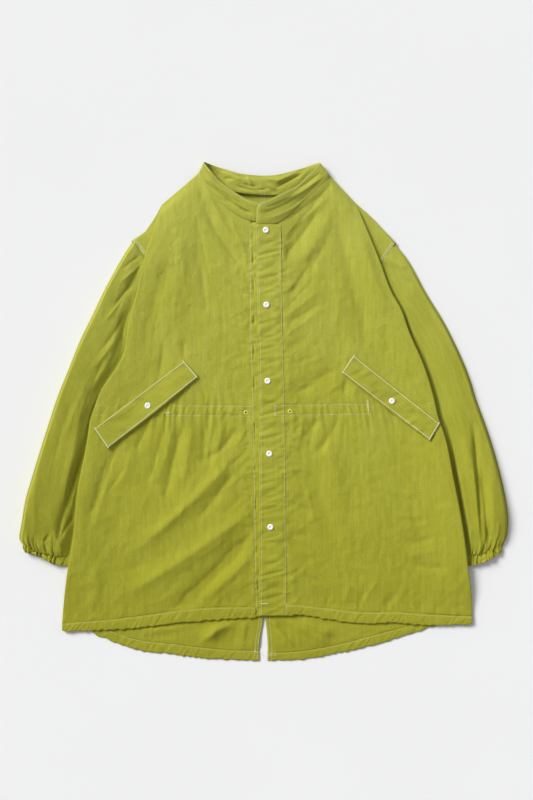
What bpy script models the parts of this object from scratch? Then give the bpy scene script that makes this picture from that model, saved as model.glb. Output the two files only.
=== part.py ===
"""A fishtail parka laid flat on its back, with the sleeves drawn down and tucked under the sides.

Sizes are in millimetres and become metres when a mesh is made. +X is the viewer's right, +Y runs
from the hem to the neck, and +Z is up off the surface that the parka lies on. Left and right are
the viewer's. Every cloth piece is an open sheet of points that a Solidify modifier makes a wall.
"""
import math
from collections import namedtuple

import bpy
import numpy as np
from mathutils.bvhtree import BVHTree
from mathutils import Vector

for old in list(bpy.data.objects):
    bpy.data.objects.remove(old, do_unlink=True)

MM = 0.001

# Cloth and seams
CLOTH = 1.1            # a single wall of cloth
DOUBLED = 1.8          # cloth turned on itself: placket, collar, flaps and channels
SEAM_GAP = 0.3         # between pieces that are sewn together
COLLAR_GAP = 1.0       # from the band's seam to the cut edge of the front
LYING = CLOTH / 2      # height of a single wall's middle where it lies on the surface
CLEAR = 0.45           # air between a piece and what is laid on the cloth below it

# Heights of the fronts' middle surface
BODY_HEIGHT = 5.7      # over the back, in the middle of a front
LAP_HEIGHT = 7.0       # at the front edges, under the placket
SHOULDER_HEIGHT = LYING + CLOTH + SEAM_GAP
HEM_HEIGHT = 4.6
LAP_STEP = CLOTH / 2 + DOUBLED / 2 + CLEAR     # from the under-placket up to the placket
COLLAR_FALL = 38.0     # distance over which the collar's height runs out down the front
SHOULDER_FALL = 10.0
SIDE_RISE = 84.0
TURNED_IN = 60.0       # reach of the cloth turned in beneath the side folds
HEM_FALL = 70.0

# Fittings
SNAP_RADIUS = 5.6
SNAP_HEIGHT = 2.2
EYELET_RADIUS = 3.7
EYELET_HOLE = 1.9
EYELET_HEIGHT = 0.9

# Side folds of the body, from the shoulder to the hem: where the front turns under, how far the
# cloth goes in beneath before it meets the side seam, and the height of the fold's top
Side = namedtuple("Side", "x y tuck top under")
SIDE_FOLD = {
    "left": [
        Side(-178, 363, 0, 2.2, 1.9), Side(-183, 347, 5, 6.4, 4.2), Side(-188, 330, 9, 8.4, 5.2),
        Side(-197, 302, 16, 10.4, 5.9), Side(-206, 275, 26, 11.4, 6.1),
        Side(-215, 239, 38, 12.2, 6.3), Side(-220, 212, 50, 12.4, 6.4),
        Side(-234, 163, 54, 12.6, 6.4), Side(-251, 86, 54, 12.6, 6.4),
        Side(-269, 60, 54, 12.6, 6.4), Side(-282, 40, 54, 12.6, 6.4),
        Side(-293, 13, 54, 12.6, 6.4), Side(-299, -3, 54, 12.6, 6.4),
        Side(-309, -59, 54, 12.8, 6.4), Side(-323, -129, 54, 13.2, 6.4),
        Side(-332, -215, 54, 13.2, 6.4), Side(-341, -270, 54, 12.0, 6.2),
        Side(-348, -323, 52, 7.5, 2.2), Side(-352, -369, 46, 5.4, 1.4),
    ],
    "right": [
        Side(161, 366, 0, 2.2, 1.9), Side(167, 351, 5, 7.2, 4.2), Side(173, 336, 9, 10.0, 5.2),
        Side(188, 300, 16, 12.0, 5.9), Side(204, 260, 28, 12.8, 6.2),
        Side(212, 237, 38, 13.2, 6.3), Side(222, 212, 50, 13.2, 6.4),
        Side(240, 179, 54, 13.2, 6.4), Side(254, 140, 54, 13.2, 6.4),
        Side(279, 83, 54, 13.2, 6.4), Side(296, 29, 54, 13.2, 6.4),
        Side(306, -13, 54, 13.2, 6.4), Side(313, -32, 54, 13.4, 6.4),
        Side(331, -115, 54, 13.6, 6.4), Side(345, -187, 54, 13.8, 6.4),
        Side(353, -241, 54, 13.4, 6.4), Side(356, -268, 54, 12.2, 6.2),
        Side(363, -322, 52, 7.5, 2.2), Side(364, -356, 48, 5.4, 1.4),
    ],
}
UNDERARM_ROW = 6       # the row of SIDE_FOLD where body and sleeve part

# The front's lower layer beside the side fold, from the shoulder round to the underarm
SHOULDER_EDGE = {
    "left": [(-178, 363), (-189, 342), (-206, 317), (-228, 299), (-207, 274), (-190, 246)],
    "right": [(161, 366), (180, 349.5), (197, 333), (229, 295), (205, 261), (190, 239)],
}
ARMHOLE_HEIGHT = 4.2   # where the front meets the top of the sleeve

# Front edges: the seam between a front and its placket strip, and the placket's free edge
Edge = namedtuple("Edge", "y left_seam lap right_seam")
FRONT_EDGE = [
    Edge(332, -24, -13, 30), Edge(249, -23.5, -12, 31), Edge(158, -23, -10.5, 32.5),
    Edge(16, -19.5, -8.5, 36), Edge(-150, -16.5, -8, 38), Edge(-336, -13.5, -8, 40),
]
UNDER_LAP = 26.0       # how far the under-placket reaches in beneath the placket

# Hem of the fronts from the front edge out to the side: the stitch line and the edge
Hem = namedtuple("Hem", "x stitch edge")
FRONT_HEM = {
    "left": [
        Hem(-13.6, -340, -359), Hem(-49, -340.5, -360.5), Hem(-85, -341, -363),
        Hem(-167, -349, -370), Hem(-215, -356, -376), Hem(-274, -363, -380),
        Hem(-314, -366, -381.5), Hem(-352, -369, -382.5),
    ],
    "right": [
        Hem(40, -336, -355), Hem(65, -338, -354), Hem(106, -342, -360.5),
        Hem(169, -349, -369), Hem(233, -349.5, -367.5), Hem(286, -353, -372),
        Hem(330, -355, -371), Hem(364, -356.5, -370),
    ],
}

# The collar band round the neck, from the left front end over the back to the right front end.
# Each row has the top edge and the seam below it.
Band = namedtuple("Band", "top_x top_y top_z seam_x seam_y seam_z")
COLLAR = [
    Band(6, 361, 13.4, 4, 334, 9.4),
    Band(-8, 365, 14.0, -12, 333, 9.6),
    Band(-30, 372, 15.0, -32, 337, 10.0),
    Band(-50, 384, 16.4, -57, 352, 10.6),
    Band(-73, 400, 17.6, -80, 371, 11.2),
    Band(-90, 418, 17.6, -98, 391, 11.0),
    Band(-101, 431, 15.0, -109, 414, 8.6),
    Band(-103, 435.5, 10.5, -112, 420, 6.2),
    Band(-96, 434, 5.0, -106, 417, 4.0),
    Band(-68, 425, 2.2, -85, 396, 2.0),
    Band(-40, 417, 1.6, -45, 384, 2.0),
    Band(-6, 413.5, 1.4, -6, 380, 2.0),
    Band(24, 415, 1.6, 32, 381, 2.0),
    Band(62, 424.5, 2.2, 72, 393, 2.0),
    Band(91, 434, 5.0, 104, 417, 4.0),
    Band(98, 435.5, 10.5, 113, 417, 6.2),
    Band(95, 431, 15.5, 112, 409, 8.8),
    Band(79, 415, 18.4, 94, 393, 11.4),
    Band(57, 394, 18.8, 70, 369, 12.0),
    Band(32, 381, 18.2, 46, 345, 12.2),
    Band(9, 369, 17.6, 26, 331, 12.0),
    Band(-8, 362, 16.6, 2, 329, 11.8),
    Band(-12.5, 352, 15.6, -12.5, 330, 11.6),
]
LEFT_END, LEFT_CORNER, RIGHT_CORNER, RIGHT_END = 1, 7, 15, 22
BAND_SEGMENTS_ACROSS = 3

# Backs, a row from the centre (or neck) out to the side for each station
Back = namedtuple("Back", "inner_x inner_y outer_x outer_y")
BACK_ROWS = {
    "left": [
        Back(-110, 419, -110, 419), Back(-98, 407, -123, 406), Back(-85, 394, -152, 383),
        Back(-45, 382, -177, 362), Back(-1.65, 378, -206, 316), Back(-1.65, 330, -227, 298),
        Back(-1.65, 300, -206.5, 272), Back(-1.65, 262, -189.5, 244),
    ],
    "right": [
        Back(108, 418, 108, 418), Back(98, 404, 118, 406), Back(72, 391, 134, 392),
        Back(32, 379, 161, 366), Back(-1.35, 378, 197, 332), Back(-1.35, 330, 227.5, 294),
        Back(-1.35, 300, 204.5, 259), Back(-1.35, 262, 189.5, 237),
    ],
}
BACK_MIDDLE = {"left": 1.35, "right": 1.65}      # the centre-back seam's two edges
BACK_END = -345.0      # where the fishtail's slit begins

# Fishtail from the slit out to the side: the stitch line and the hem edge
FISHTAIL = {
    "left": [
        Hem(-8, -417, -434.5), Hem(-66, -415, -432), Hem(-117, -410, -429), Hem(-156, -405, -423),
        Hem(-225, -396, -414), Hem(-262, -384, -401), Hem(-299, -370, -386),
    ],
    "right": [
        Hem(7, -421, -434), Hem(71, -416.5, -431.5), Hem(125, -407, -422), Hem(191, -390, -407),
        Hem(256, -373, -387), Hem(290, -364, -376), Hem(311, -358, -369),
    ],
}
SLIT = {
    "left": [(1.35, -345), (0, -359), (-3, -380), (-6, -395), (-7, -405), (-8, -417)],
    "right": [(1.65, -345), (3, -359), (4.5, -374), (7, -401), (7.3, -410), (7, -421)],
}

# Sleeves from the armhole to the cuff: the outer edge, how far the inner edge goes in beneath the
# body's fold, the crown's height, how far across it lies (0 outer, 1 inner), the height of the
# flat cloth beneath the body, and how far the section bows down to the hand
Sleeve = namedtuple("Sleeve", "x y tuck inner_y crown crown_at tucked bow")
SLEEVE_FALL = 42.0     # distance over which a sleeve sinks towards the body that covers it
SLEEVES = {
    "left": [
        Sleeve(-228.6, 298.4, 30, 232, 4.4, 0.45, 4.2, 0), Sleeve(-246, 272, 30, 192, 6.4, 0.40, 4.0, 0),
        Sleeve(-276, 218, 30, 142, 8.6, 0.36, 4.0, 0), Sleeve(-300, 168, 30, 102, 9.6, 0.36, 4.0, 0),
        Sleeve(-321, 125, 30, 66, 10.2, 0.38, 4.0, 0), Sleeve(-343, 70, 30, 20, 10.8, 0.40, 4.0, 0),
        Sleeve(-362, 22, 30, -20, 11.4, 0.42, 4.0, 0), Sleeve(-387, -55, 30, -84, 12.4, 0.44, 4.0, 0),
        Sleeve(-403, -107, 30, -132, 13.6, 0.46, 4.0, 0),
        Sleeve(-416, -152, 30, -178, 15.0, 0.46, 4.0, 0),
        Sleeve(-423, -193, 28, -219, 15.6, 0.46, 4.0, 2),
        Sleeve(-427, -219, 24, -242, 14.4, 0.46, 4.0, 6),
        Sleeve(-421, -231, 20, -251, 9.6, 0.46, 4.0, 9),
    ],
    "right": [
        Sleeve(229.6, 294.4, 27, 230, 4.4, 0.45, 4.2, 0), Sleeve(254, 263, 30, 184, 7.0, 0.40, 4.0, 0),
        Sleeve(284, 209, 30, 142, 9.0, 0.36, 4.0, 0), Sleeve(317, 155, 30, 100, 10.0, 0.36, 4.0, 0),
        Sleeve(345, 98, 30, 52, 10.8, 0.38, 4.0, 0), Sleeve(361, 58, 30, 14, 11.4, 0.40, 4.0, 0),
        Sleeve(372, 22, 30, -16, 12.0, 0.42, 4.0, 0), Sleeve(396, -45, 30, -78, 13.4, 0.44, 4.0, 0),
        Sleeve(415, -112, 30, -138, 15.0, 0.46, 4.0, 0),
        Sleeve(427, -174, 30, -194, 16.6, 0.46, 4.0, 1),
        Sleeve(426.5, -212, 26, -232, 16.0, 0.46, 4.0, 5),
        Sleeve(419, -231, 22, -247, 10.4, 0.46, 4.0, 9),
    ],
}
CUFF_EDGE = {
    "left": [(-418, -243), (-404, -246.5), (-388, -252), (-369, -263), (-352, -268),
             (-336, -267), (-322, -264)],
    "right": [(416, -243), (401, -253), (384, -260), (368, -265.5), (352, -268),
              (338, -267), (327, -262)],
}
CUFF_PLEATS = 18
CUFF_PLEAT_DEPTH = 1.5

# Folds of the cloth: three points that a fold runs through, the half width of its slope, and
# its height (a trough is negative). The first two tables are for the fronts.
Fold = namedtuple("Fold", "x1 y1 x2 y2 x3 y3 width height")
FRONT_FOLDS = {
    "left": [
        Fold(-108, 372, -84, 306, -30, 247, 9, -4.5),
        Fold(-95, 362, -62, 312, -28, 286, 9, 2.4),
        Fold(-117, 300, -108, 232, -94, 160, 11, -2.4),
        Fold(-164, 272, -195, 190, -206, 96, 15, -3.3),
        Fold(-135, 330, -150, 240, -160, 130, 20, 2.7),
        Fold(-71, 235, -40, 212, -24, 190, 7, -1.8),
        Fold(-139, 130, -140, 110, -141, 88, 6, -2.1),
        Fold(-173, 130, -178, 95, -182, 60, 7, -2.1),
        Fold(-252, -40, -281, -118, -308, -200, 10, -3.6),
        Fold(-201, -15, -210, -42, -224, -70, 8, -3.0),
        Fold(-228, -62, -238, -100, -248, -128, 12, 2.4),
        Fold(-139, -12, -160, -90, -174, -160, 9, -3.9),
        Fold(-122, -15, -133, -70, -140, -130, 9, 2.7),
        Fold(-104, -12, -102, -55, -108, -98, 8, -3.0),
        Fold(-50, -22, -58, -62, -104, -84, 8, -3.3),
        Fold(-44, -68, -112, -155, -236, -248, 13, 5.1),
        Fold(-48, -100, -84, -150, -118, -190, 9, -2.7),
        Fold(-16, -165, -110, -246, -250, -322, 15, 5.4),
        Fold(-18, -208, -84, -286, -160, -350, 12, -7.5),
        Fold(-16, -246, -60, -290, -104, -328, 10, 3.3),
        Fold(-290, -250, -292, -310, -298, -350, 12, 1.8),
    ],
    "right": [
        Fold(101, 360, 66, 312, 33, 264, 9, -4.2),
        Fold(118, 350, 96, 300, 62, 256, 12, 2.7),
        Fold(97, 288, 68, 236, 38, 194, 9, -3.0),
        Fold(126, 362, 148, 245, 188, 104, 14, -3.0),
        Fold(160, 330, 190, 240, 216, 160, 16, 2.7),
        Fold(211, 158, 216, 128, 219, 98, 8, -1.8),
        Fold(99, 188, 68, 172, 36, 150, 6, -1.8),
        Fold(132, 76, 90, 54, 55, 33, 9, -3.3),
        Fold(146, 62, 143, 44, 141, 30, 6, -2.4),
        Fold(128, -6, 118, -52, 88, -72, 8, -3.3),
        Fold(100, -10, 82, -26, 72, -48, 7, -2.7),
        Fold(110, -40, 128, -110, 138, -180, 14, 2.1),
        Fold(85, -74, 92, -150, 132, -240, 16, -2.4),
        Fold(249, -224, 274, -231, 297, -216, 6, -1.8),
        Fold(252, -260, 290, -277, 321, -268, 7, -2.1),
        Fold(41, -156, 66, -163, 92, -177, 6, -1.8),
        Fold(44, -212, 62, -216, 82, -213, 6, -1.5),
        Fold(176, -312, 170, -330, 164, -346, 7, -2.1),
        Fold(232, -315, 220, -328, 208, -344, 7, -2.1),
    ],
}
TAIL_FOLDS = [
    Fold(-245, -372, -205, -384, -120, -372, 9, 2.4),
    Fold(-60, -352, -82, -372, -96, -398, 9, 2.2),
    Fold(-30, -352, -36, -385, -40, -412, 8, 1.4),
    Fold(34, -352, 62, -384, 118, -402, 10, 2.2),
    Fold(110, -352, 150, -368, 210, -372, 9, 2.4),
]
SLEEVE_FOLDS = {
    "left": [
        Fold(-206, 268, -238, 214, -262, 170, 9, -3.2),
        Fold(-222, 196, -246, 130, -276, 70, 10, -2.4),
        Fold(-276, 60, -318, -40, -342, -120, 13, 1.8),
        Fold(-312, -70, -350, -160, -360, -232, 9, -6.0),
        Fold(-396, -110, -402, -170, -396, -225, 12, 1.6),
    ],
    "right": [
        Fold(208, 262, 222, 252, 238, 244, 7, -1.6),
        Fold(292, 110, 318, 30, 344, -40, 14, 1.6),
        Fold(366, -22, 374, -108, 379, -222, 7, -7.5),
        Fold(342, -80, 352, -160, 350, -230, 11, 2.0),
        Fold(396, -90, 404, -160, 398, -220, 12, 2.0),
    ],
}

# Waist channel on each front: the distance between its stitch rows and its gathers
WAIST_LINE = {"left": (2.0, 4.0), "right": (3.0, 8.0)}      # height at the front edge and side
WAIST_HALF = 8.5
WAIST_GATHERS = 22
WAIST_GATHER_DEPTH = 1.0
WAIST_COLUMNS = 46
BELOW_WAIST_GATHERS = 11
HEM_PUCKERS = 13
HEM_PUCKER_DEPTH = 0.8

# Pocket flaps: the four corners from the end at the front edge round to the side end
FLAPS = {
    "left": [(-139, 91), (-114, 62), (-272, -63), (-296, -28)],
    "right": [(157, 101), (136, 70), (290, -49), (308, -19)],
}
FLAP_LIFT = 1.6        # of the flap's free lower edge off the front
SNAPS = [(4, 318), (5, 188), (7, 55), (10, -72), (12, -200)]
FLAP_SNAPS = {"left": (-202, 12), "right": (224, 20)}
EYELETS = {"left": (-31, 0), "right": (46, 2)}

# Grid sizes
FRONT_COLUMNS = 16
GRID_STEP = 12.0       # the narrowest slope that a front's grid shows
UPPER_ROWS = 9
LOWER_ROWS = 15
SLEEVE_STATIONS = 16
BACK_COLUMNS = 10
HEM_COLUMNS = 28

SIGN = {"left": -1.0, "right": 1.0}


# ---------------------------------------------------------------- curves and blends

def smooth_through(at, known, values):
    """Value at `at` on a smooth curve through the known stations (rising), one value each."""
    known = np.asarray(known, float)
    values = np.asarray(values, float)
    at = np.clip(np.asarray(at, float), known[0], known[-1])
    slopes = np.gradient(values, known)
    cell = np.clip(np.searchsorted(known, at, side="right") - 1, 0, len(known) - 2)
    width = known[cell + 1] - known[cell]
    u = (at - known[cell]) / width
    return ((2 * u**3 - 3 * u**2 + 1) * values[cell]
            + (u**3 - 2 * u**2 + u) * width * slopes[cell]
            + (3 * u**2 - 2 * u**3) * values[cell + 1]
            + (u**3 - u**2) * width * slopes[cell + 1])


def ease(x):
    """0 to 1 with a soft start and end."""
    x = np.clip(x, 0.0, 1.0)
    return x * x * (3.0 - 2.0 * x)


def mix(a, b, share):
    return a + (b - a) * share


def along(points, count):
    """`count` points spread evenly along a polyline, as an array."""
    points = np.asarray(points, float)
    steps = np.linalg.norm(np.diff(points, axis=0), axis=1)
    walked = np.concatenate([[0.0], np.cumsum(steps)])
    at = np.linspace(0.0, walked[-1], count)
    return np.stack([np.interp(at, walked, points[:, k]) for k in range(points.shape[1])], 1)


def fold_relief(x, y, folds, least_width=0.0):
    """Height that the folds add at (x, y): each is a soft ridge that fades towards its ends."""
    relief = np.zeros_like(x, dtype=float)
    for fold in folds:
        best = np.full(x.shape, 1e9)
        share = np.zeros(x.shape)
        t = np.linspace(0.0, 1.0, 13)
        path_x = (1 - t)**2 * fold.x1 + 2 * t * (1 - t) * fold.x2 + t**2 * fold.x3
        path_y = (1 - t)**2 * fold.y1 + 2 * t * (1 - t) * fold.y2 + t**2 * fold.y3
        for k in range(len(t) - 1):
            run_x = path_x[k + 1] - path_x[k]
            run_y = path_y[k + 1] - path_y[k]
            length2 = run_x**2 + run_y**2
            s = ((x - path_x[k]) * run_x + (y - path_y[k]) * run_y) / length2
            s = np.clip(s, 0.0, 1.0)
            away = (x - path_x[k] - s * run_x)**2 + (y - path_y[k] - s * run_y)**2
            nearer = away < best
            best = np.where(nearer, away, best)
            share = np.where(nearer, (k + s) / (len(t) - 1), share)
        fade = ease(share / 0.22) * ease((1.0 - share) / 0.22)
        spread = max(fold.width, least_width)**2
        relief = relief + fold.height * (0.25 + 0.75 * fade) * np.exp(-best / spread)
    return relief


# ---------------------------------------------------------------- mesh helpers

parka = bpy.data.collections.new("fishtail_parka")
bpy.context.scene.collection.children.link(parka)


def finish(name, colour, roughness, metallic=0.0):
    """A material with the piece's own colour."""
    material = bpy.data.materials.new(name)
    material.use_nodes = True
    shader = material.node_tree.nodes["Principled BSDF"]
    shader.inputs["Base Color"].default_value = (*colour, 1.0)
    shader.inputs["Roughness"].default_value = roughness
    shader.inputs["Metallic"].default_value = metallic
    return material


LIME = (0.37, 0.385, 0.05)
WHITE = (0.85, 0.85, 0.83)
BRASS = (0.62, 0.55, 0.12)


class Sheet:
    """Rows of points that are joined row to row, with shared points where rows come together."""

    def __init__(self):
        self.points = []
        self.faces = []
        self.last = None

    def row(self, points):
        """Adds a row of (x, y, z) and returns its indices. A repeated point is shared."""
        indices = []
        for point in points:
            if indices and np.allclose(point, self.points[indices[-1]], atol=1e-6):
                indices.append(indices[-1])
                continue
            self.points.append(tuple(float(v) for v in point))
            indices.append(len(self.points) - 1)
        return indices

    def bridge(self, upper, lower):
        """Faces between two rows of indices, of equal or unequal length."""
        i = j = 0
        last_i, last_j = len(upper) - 1, len(lower) - 1
        while i < last_i or j < last_j:
            if len(upper) == len(lower):
                self._face(upper[i], lower[j], lower[j + 1], upper[i + 1])
                i, j = i + 1, j + 1
            elif j >= last_j or (i < last_i and (i + 1) / last_i <= (j + 1) / last_j):
                self._face(upper[i], lower[j], upper[i + 1])
                i += 1
            else:
                self._face(upper[i], lower[j], lower[j + 1])
                j += 1

    def _face(self, *corners):
        kept = [c for k, c in enumerate(corners) if c != corners[k - 1]]
        if len(set(kept)) >= 3:
            self.faces.append(kept)

    def add(self, points):
        """Adds a row and joins it to the row before."""
        indices = self.row(points)
        if self.last is not None:
            self.bridge(self.last, indices)
        self.last = indices
        return indices


def cloth_object(name, sheet, thickness, colour=LIME, flip=False):
    """An object whose sheet becomes a closed wall, half of it to each side."""
    faces = [list(reversed(f)) for f in sheet.faces] if flip else sheet.faces
    mesh = bpy.data.meshes.new(name)
    mesh.from_pydata([tuple(v * MM for v in p) for p in sheet.points], [], faces)
    mesh.update()
    mesh.shade_smooth()
    piece = bpy.data.objects.new(name, mesh)
    parka.objects.link(piece)
    mesh.materials.append(finish(name, colour, 0.7))
    wall = piece.modifiers.new("wall", "SOLIDIFY")
    wall.thickness = thickness * MM
    wall.offset = 0.0
    return piece


def turned_object(name, profile, steps, centre, colour, roughness, metallic=0.0):
    """A round fitting: (radius, height) points turned about a vertical axis at `centre`."""
    mesh = bpy.data.meshes.new(name)
    points = [(r * MM, 0.0, z * MM) for r, z in profile]
    mesh.from_pydata(points, [(k, k + 1) for k in range(len(points) - 1)], [])
    piece = bpy.data.objects.new(name, mesh)
    parka.objects.link(piece)
    piece.location = tuple(v * MM for v in centre)
    mesh.materials.append(finish(name, colour, roughness, metallic))
    turn = piece.modifiers.new("turn", "SCREW")
    turn.steps = steps
    turn.render_steps = steps
    turn.use_merge_vertices = True
    turn.merge_threshold = 0.00001
    return piece


def top_of(pieces):
    """Function that gives the height of the pieces' top face at (x, y), or None off them."""
    bpy.context.view_layer.update()
    graph = bpy.context.evaluated_depsgraph_get()
    trees = [BVHTree.FromObject(piece, graph) for piece in pieces]

    def height(x, y):
        start = Vector((x * MM, y * MM, 0.2))
        found = [tree.ray_cast(start, Vector((0.0, 0.0, -1.0)))[0] for tree in trees]
        found = [hit.z / MM for hit in found if hit is not None]
        return max(found) if found else None

    return height


# ---------------------------------------------------------------- fronts

def front_edge_x(y, column):
    """x of one of FRONT_EDGE's lines at the height y."""
    rows = sorted(FRONT_EDGE, key=lambda row: row.y)
    return smooth_through(y, [row.y for row in rows], [getattr(row, column) for row in rows])


def hem_curve(rows, column, x):
    rows = sorted(rows, key=lambda row: row.x)
    return smooth_through(x, [row.x for row in rows], [getattr(row, column) for row in rows])


def collar_seam(side):
    """The front's neck seam from the front edge out to the shoulder, as an array of points."""
    ends = (LEFT_END + 1, LEFT_CORNER) if side == "left" else (RIGHT_END - 2, RIGHT_CORNER)
    band = collar_lines(np.linspace(*ends, 25))
    top, seam = band[:, :3], band[:, 3:]
    away = (seam - top)[:, :2]
    away = away / np.linalg.norm(away, axis=1)[:, None]
    return np.column_stack([seam[:, :2] + COLLAR_GAP * away, seam[:, 2] - 0.4])


def collar_lines(at):
    """The band's top edge and its seam, (x, y, z) of each, at stations of COLLAR."""
    stations = np.arange(len(COLLAR), dtype=float)
    return np.stack([smooth_through(at, stations, column) for column in zip(*COLLAR)], 1)


def front_top(side, count):
    """The front's top boundary: along the neck seam, then down the shoulder to the side fold."""
    seam = collar_seam(side)
    middle = FRONT_EDGE[0].left_seam if side == "left" else FRONT_EDGE[0].right_seam
    start_z = LAP_HEIGHT + (3.0 if side == "left" else 4.6)
    start = (middle, seam[0][1] - 2.0, start_z)
    fold = SIDE_FOLD[side][0]
    corner = seam[-1]
    shoulder = [(mix(corner[0], fold.x, k), mix(corner[1] - 2.0, fold.y, k) + bulge, height)
                for k, bulge, height in ((0.35, 1.0, 3.2), (0.7, 0.5, SHOULDER_HEIGHT + 0.3))]
    edge = [start, *seam[1:], *shoulder, (fold.x, fold.y, SHOULDER_HEIGHT)]
    return along(edge, count + 1)


def waist_relief(side, x, y, s):
    """Gathers of the waist channel and the shorter drapes that they leave below."""
    middle, end = WAIST_LINE[side]
    off = y - mix(middle, end, s)
    wander = 0.35 * np.sin(9.0 * s + 1.3) + 0.25 * np.sin(23.0 * s)
    gathers = np.sin(2 * math.pi * (WAIST_GATHERS * s + wander))
    inside = np.exp(-(off / (1.15 * WAIST_HALF))**4) * (1.0 - 0.5 * ease((s - 0.55) / 0.3))
    drapes = np.sin(2 * math.pi * (BELOW_WAIST_GATHERS * s + wander))
    below = ease(-off / 14.0) * np.exp(-((off + 16.0) / 26.0)**2)
    above = ease(off / 14.0) * np.exp(-((off - 14.0) / 18.0)**2)
    cinch = -1.2 * np.exp(-(off / 10.0)**2)
    return WAIST_GATHER_DEPTH * gathers * inside + drapes * (0.9 * below + 0.5 * above) + cinch


class FrontShape:
    """Works out a front's points from s (0 at the front edge, 1 at the side) and a row."""

    def __init__(self, side):
        self.side = side
        rows = SIDE_FOLD[side]
        self.down = -np.array([row.y for row in rows], float)
        self.fold = rows
        self.top = front_top(side, 60)
        self.inner = "left_seam" if side == "left" else "right_seam"

    def side_at(self, y, column):
        return smooth_through(-y, self.down, [getattr(row, column) for row in self.fold])

    def radius(self, y):
        """Radius of the side fold: half the way from its top to the cloth turned in below."""
        return np.maximum((self.side_at(y, "top") - self.side_at(y, "under")) / 2, 0.05)

    def seam_x(self, y):
        """x of the side seam, beneath, where the front meets the back."""
        sign = SIGN[self.side]
        return self.side_at(y, "x") - sign * (self.radius(y) + self.side_at(y, "tuck"))

    def row(self, fold_y, s):
        """(x, y, z) of the upper layer for the row that meets the side fold at fold_y."""
        s = np.asarray(s, float)
        first, last = self.fold[0], self.fold[-1]
        t = (first.y - fold_y) / (first.y - last.y)
        sign = SIGN[self.side]
        fold_x = float(self.side_at(fold_y, "x")) - sign * float(self.radius(fold_y))
        start_y = self.top[0][1]
        end_y = FRONT_HEM[self.side][0].stitch
        edge_y = mix(start_y, end_y, t)
        edge_x = float(front_edge_x(edge_y, self.inner)) + sign * SEAM_GAP
        grid = np.linspace(0.0, 1.0, len(self.top))
        top = [np.interp(s, grid, self.top[:, k]) for k in range(3)]
        hem_x = mix(FRONT_HEM[self.side][0].x + sign * SEAM_GAP, last.x - sign, s)
        hem_y = hem_curve(FRONT_HEM[self.side], "stitch", hem_x) + SEAM_GAP
        flat_top = mix(self.top[0], self.top[-1], s[:, None])
        flat_x = mix(hem_x[0], hem_x[-1], s)
        flat_y = mix(hem_y[0], hem_y[-1], s)
        x = mix(edge_x, fold_x, s) + (1 - t) * (top[0] - flat_top[:, 0]) + t * (hem_x - flat_x)
        y = mix(edge_y, fold_y, s) + (1 - t) * (top[1] - flat_top[:, 1]) + t * (hem_y - flat_y)
        return x, y, self.height(x, y, s, fold_y, top, hem_y)

    def height(self, x, y, s, fold_y, top, hem_y):
        """Middle height of the upper layer: soft rises to its edges, then the folds."""
        below_top = np.hypot(x - top[0], y - top[1])
        fall = mix(COLLAR_FALL, SHOULDER_FALL, ease((s - 0.5) / 0.2))
        to_top = np.exp(-(below_top / fall)**1.5)
        to_hem = ease(1.0 - (y - hem_y) / HEM_FALL)
        sign = SIGN[self.side]
        fold_x = self.side_at(np.clip(y, self.fold[-1].y, self.fold[0].y), "x")
        to_side = ease(1.0 - np.abs(fold_x - x) / SIDE_RISE)
        to_edge = ease(1.0 - sign * (x - front_edge_x(y, self.inner)) / 45.0)
        edge_height = LAP_HEIGHT if self.side == "left" else LAP_HEIGHT + LAP_STEP
        z = np.full_like(x, BODY_HEIGHT)
        z = mix(z, edge_height, to_edge)
        z = mix(z, float(self.side_at(fold_y, "top")), to_side)
        z = mix(z, HEM_HEIGHT + (LAP_STEP * to_edge if self.side == "right" else 0.0)
                + 0.8 * to_side, to_hem)
        relief = fold_relief(x, y, FRONT_FOLDS[self.side], GRID_STEP) + waist_relief(self.side, x, y, s)
        calm = ease(np.abs(fold_x - x) / 22.0) * ease((y - hem_y) / 16.0)
        calm = calm * ease(sign * (x - front_edge_x(y, self.inner)) / 10.0 + 0.25)
        z = z + relief * calm * ease(below_top / 18.0)
        z = mix(z, top[2], to_top)
        turned_in = mix(SHOULDER_HEIGHT, float(self.side_at(fold_y, "under")) + CLOTH + SEAM_GAP,
                        ease((TURNED_IN - np.abs(fold_x - x)) / 18.0))
        return np.maximum(z, turned_in * (1.0 - to_top))


def front_rows(side):
    """Heights on the side fold of every row across a front, from the shoulder to the hem."""
    folds = SIDE_FOLD[side]
    upper = [row.y for row in folds[:UNDERARM_ROW + 1]]
    upper += list(np.linspace(upper[-1], WAIST_LINE[side][1] + 22, UPPER_ROWS + 1))[1:-1]
    middle = WAIST_LINE[side][1]
    waist = [middle + step for step in (22, WAIST_HALF, 0, -WAIST_HALF, -24)]
    lower = list(np.linspace(waist[-1], folds[-1].y, LOWER_ROWS + 1))[1:]
    return upper + waist + lower


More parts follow.
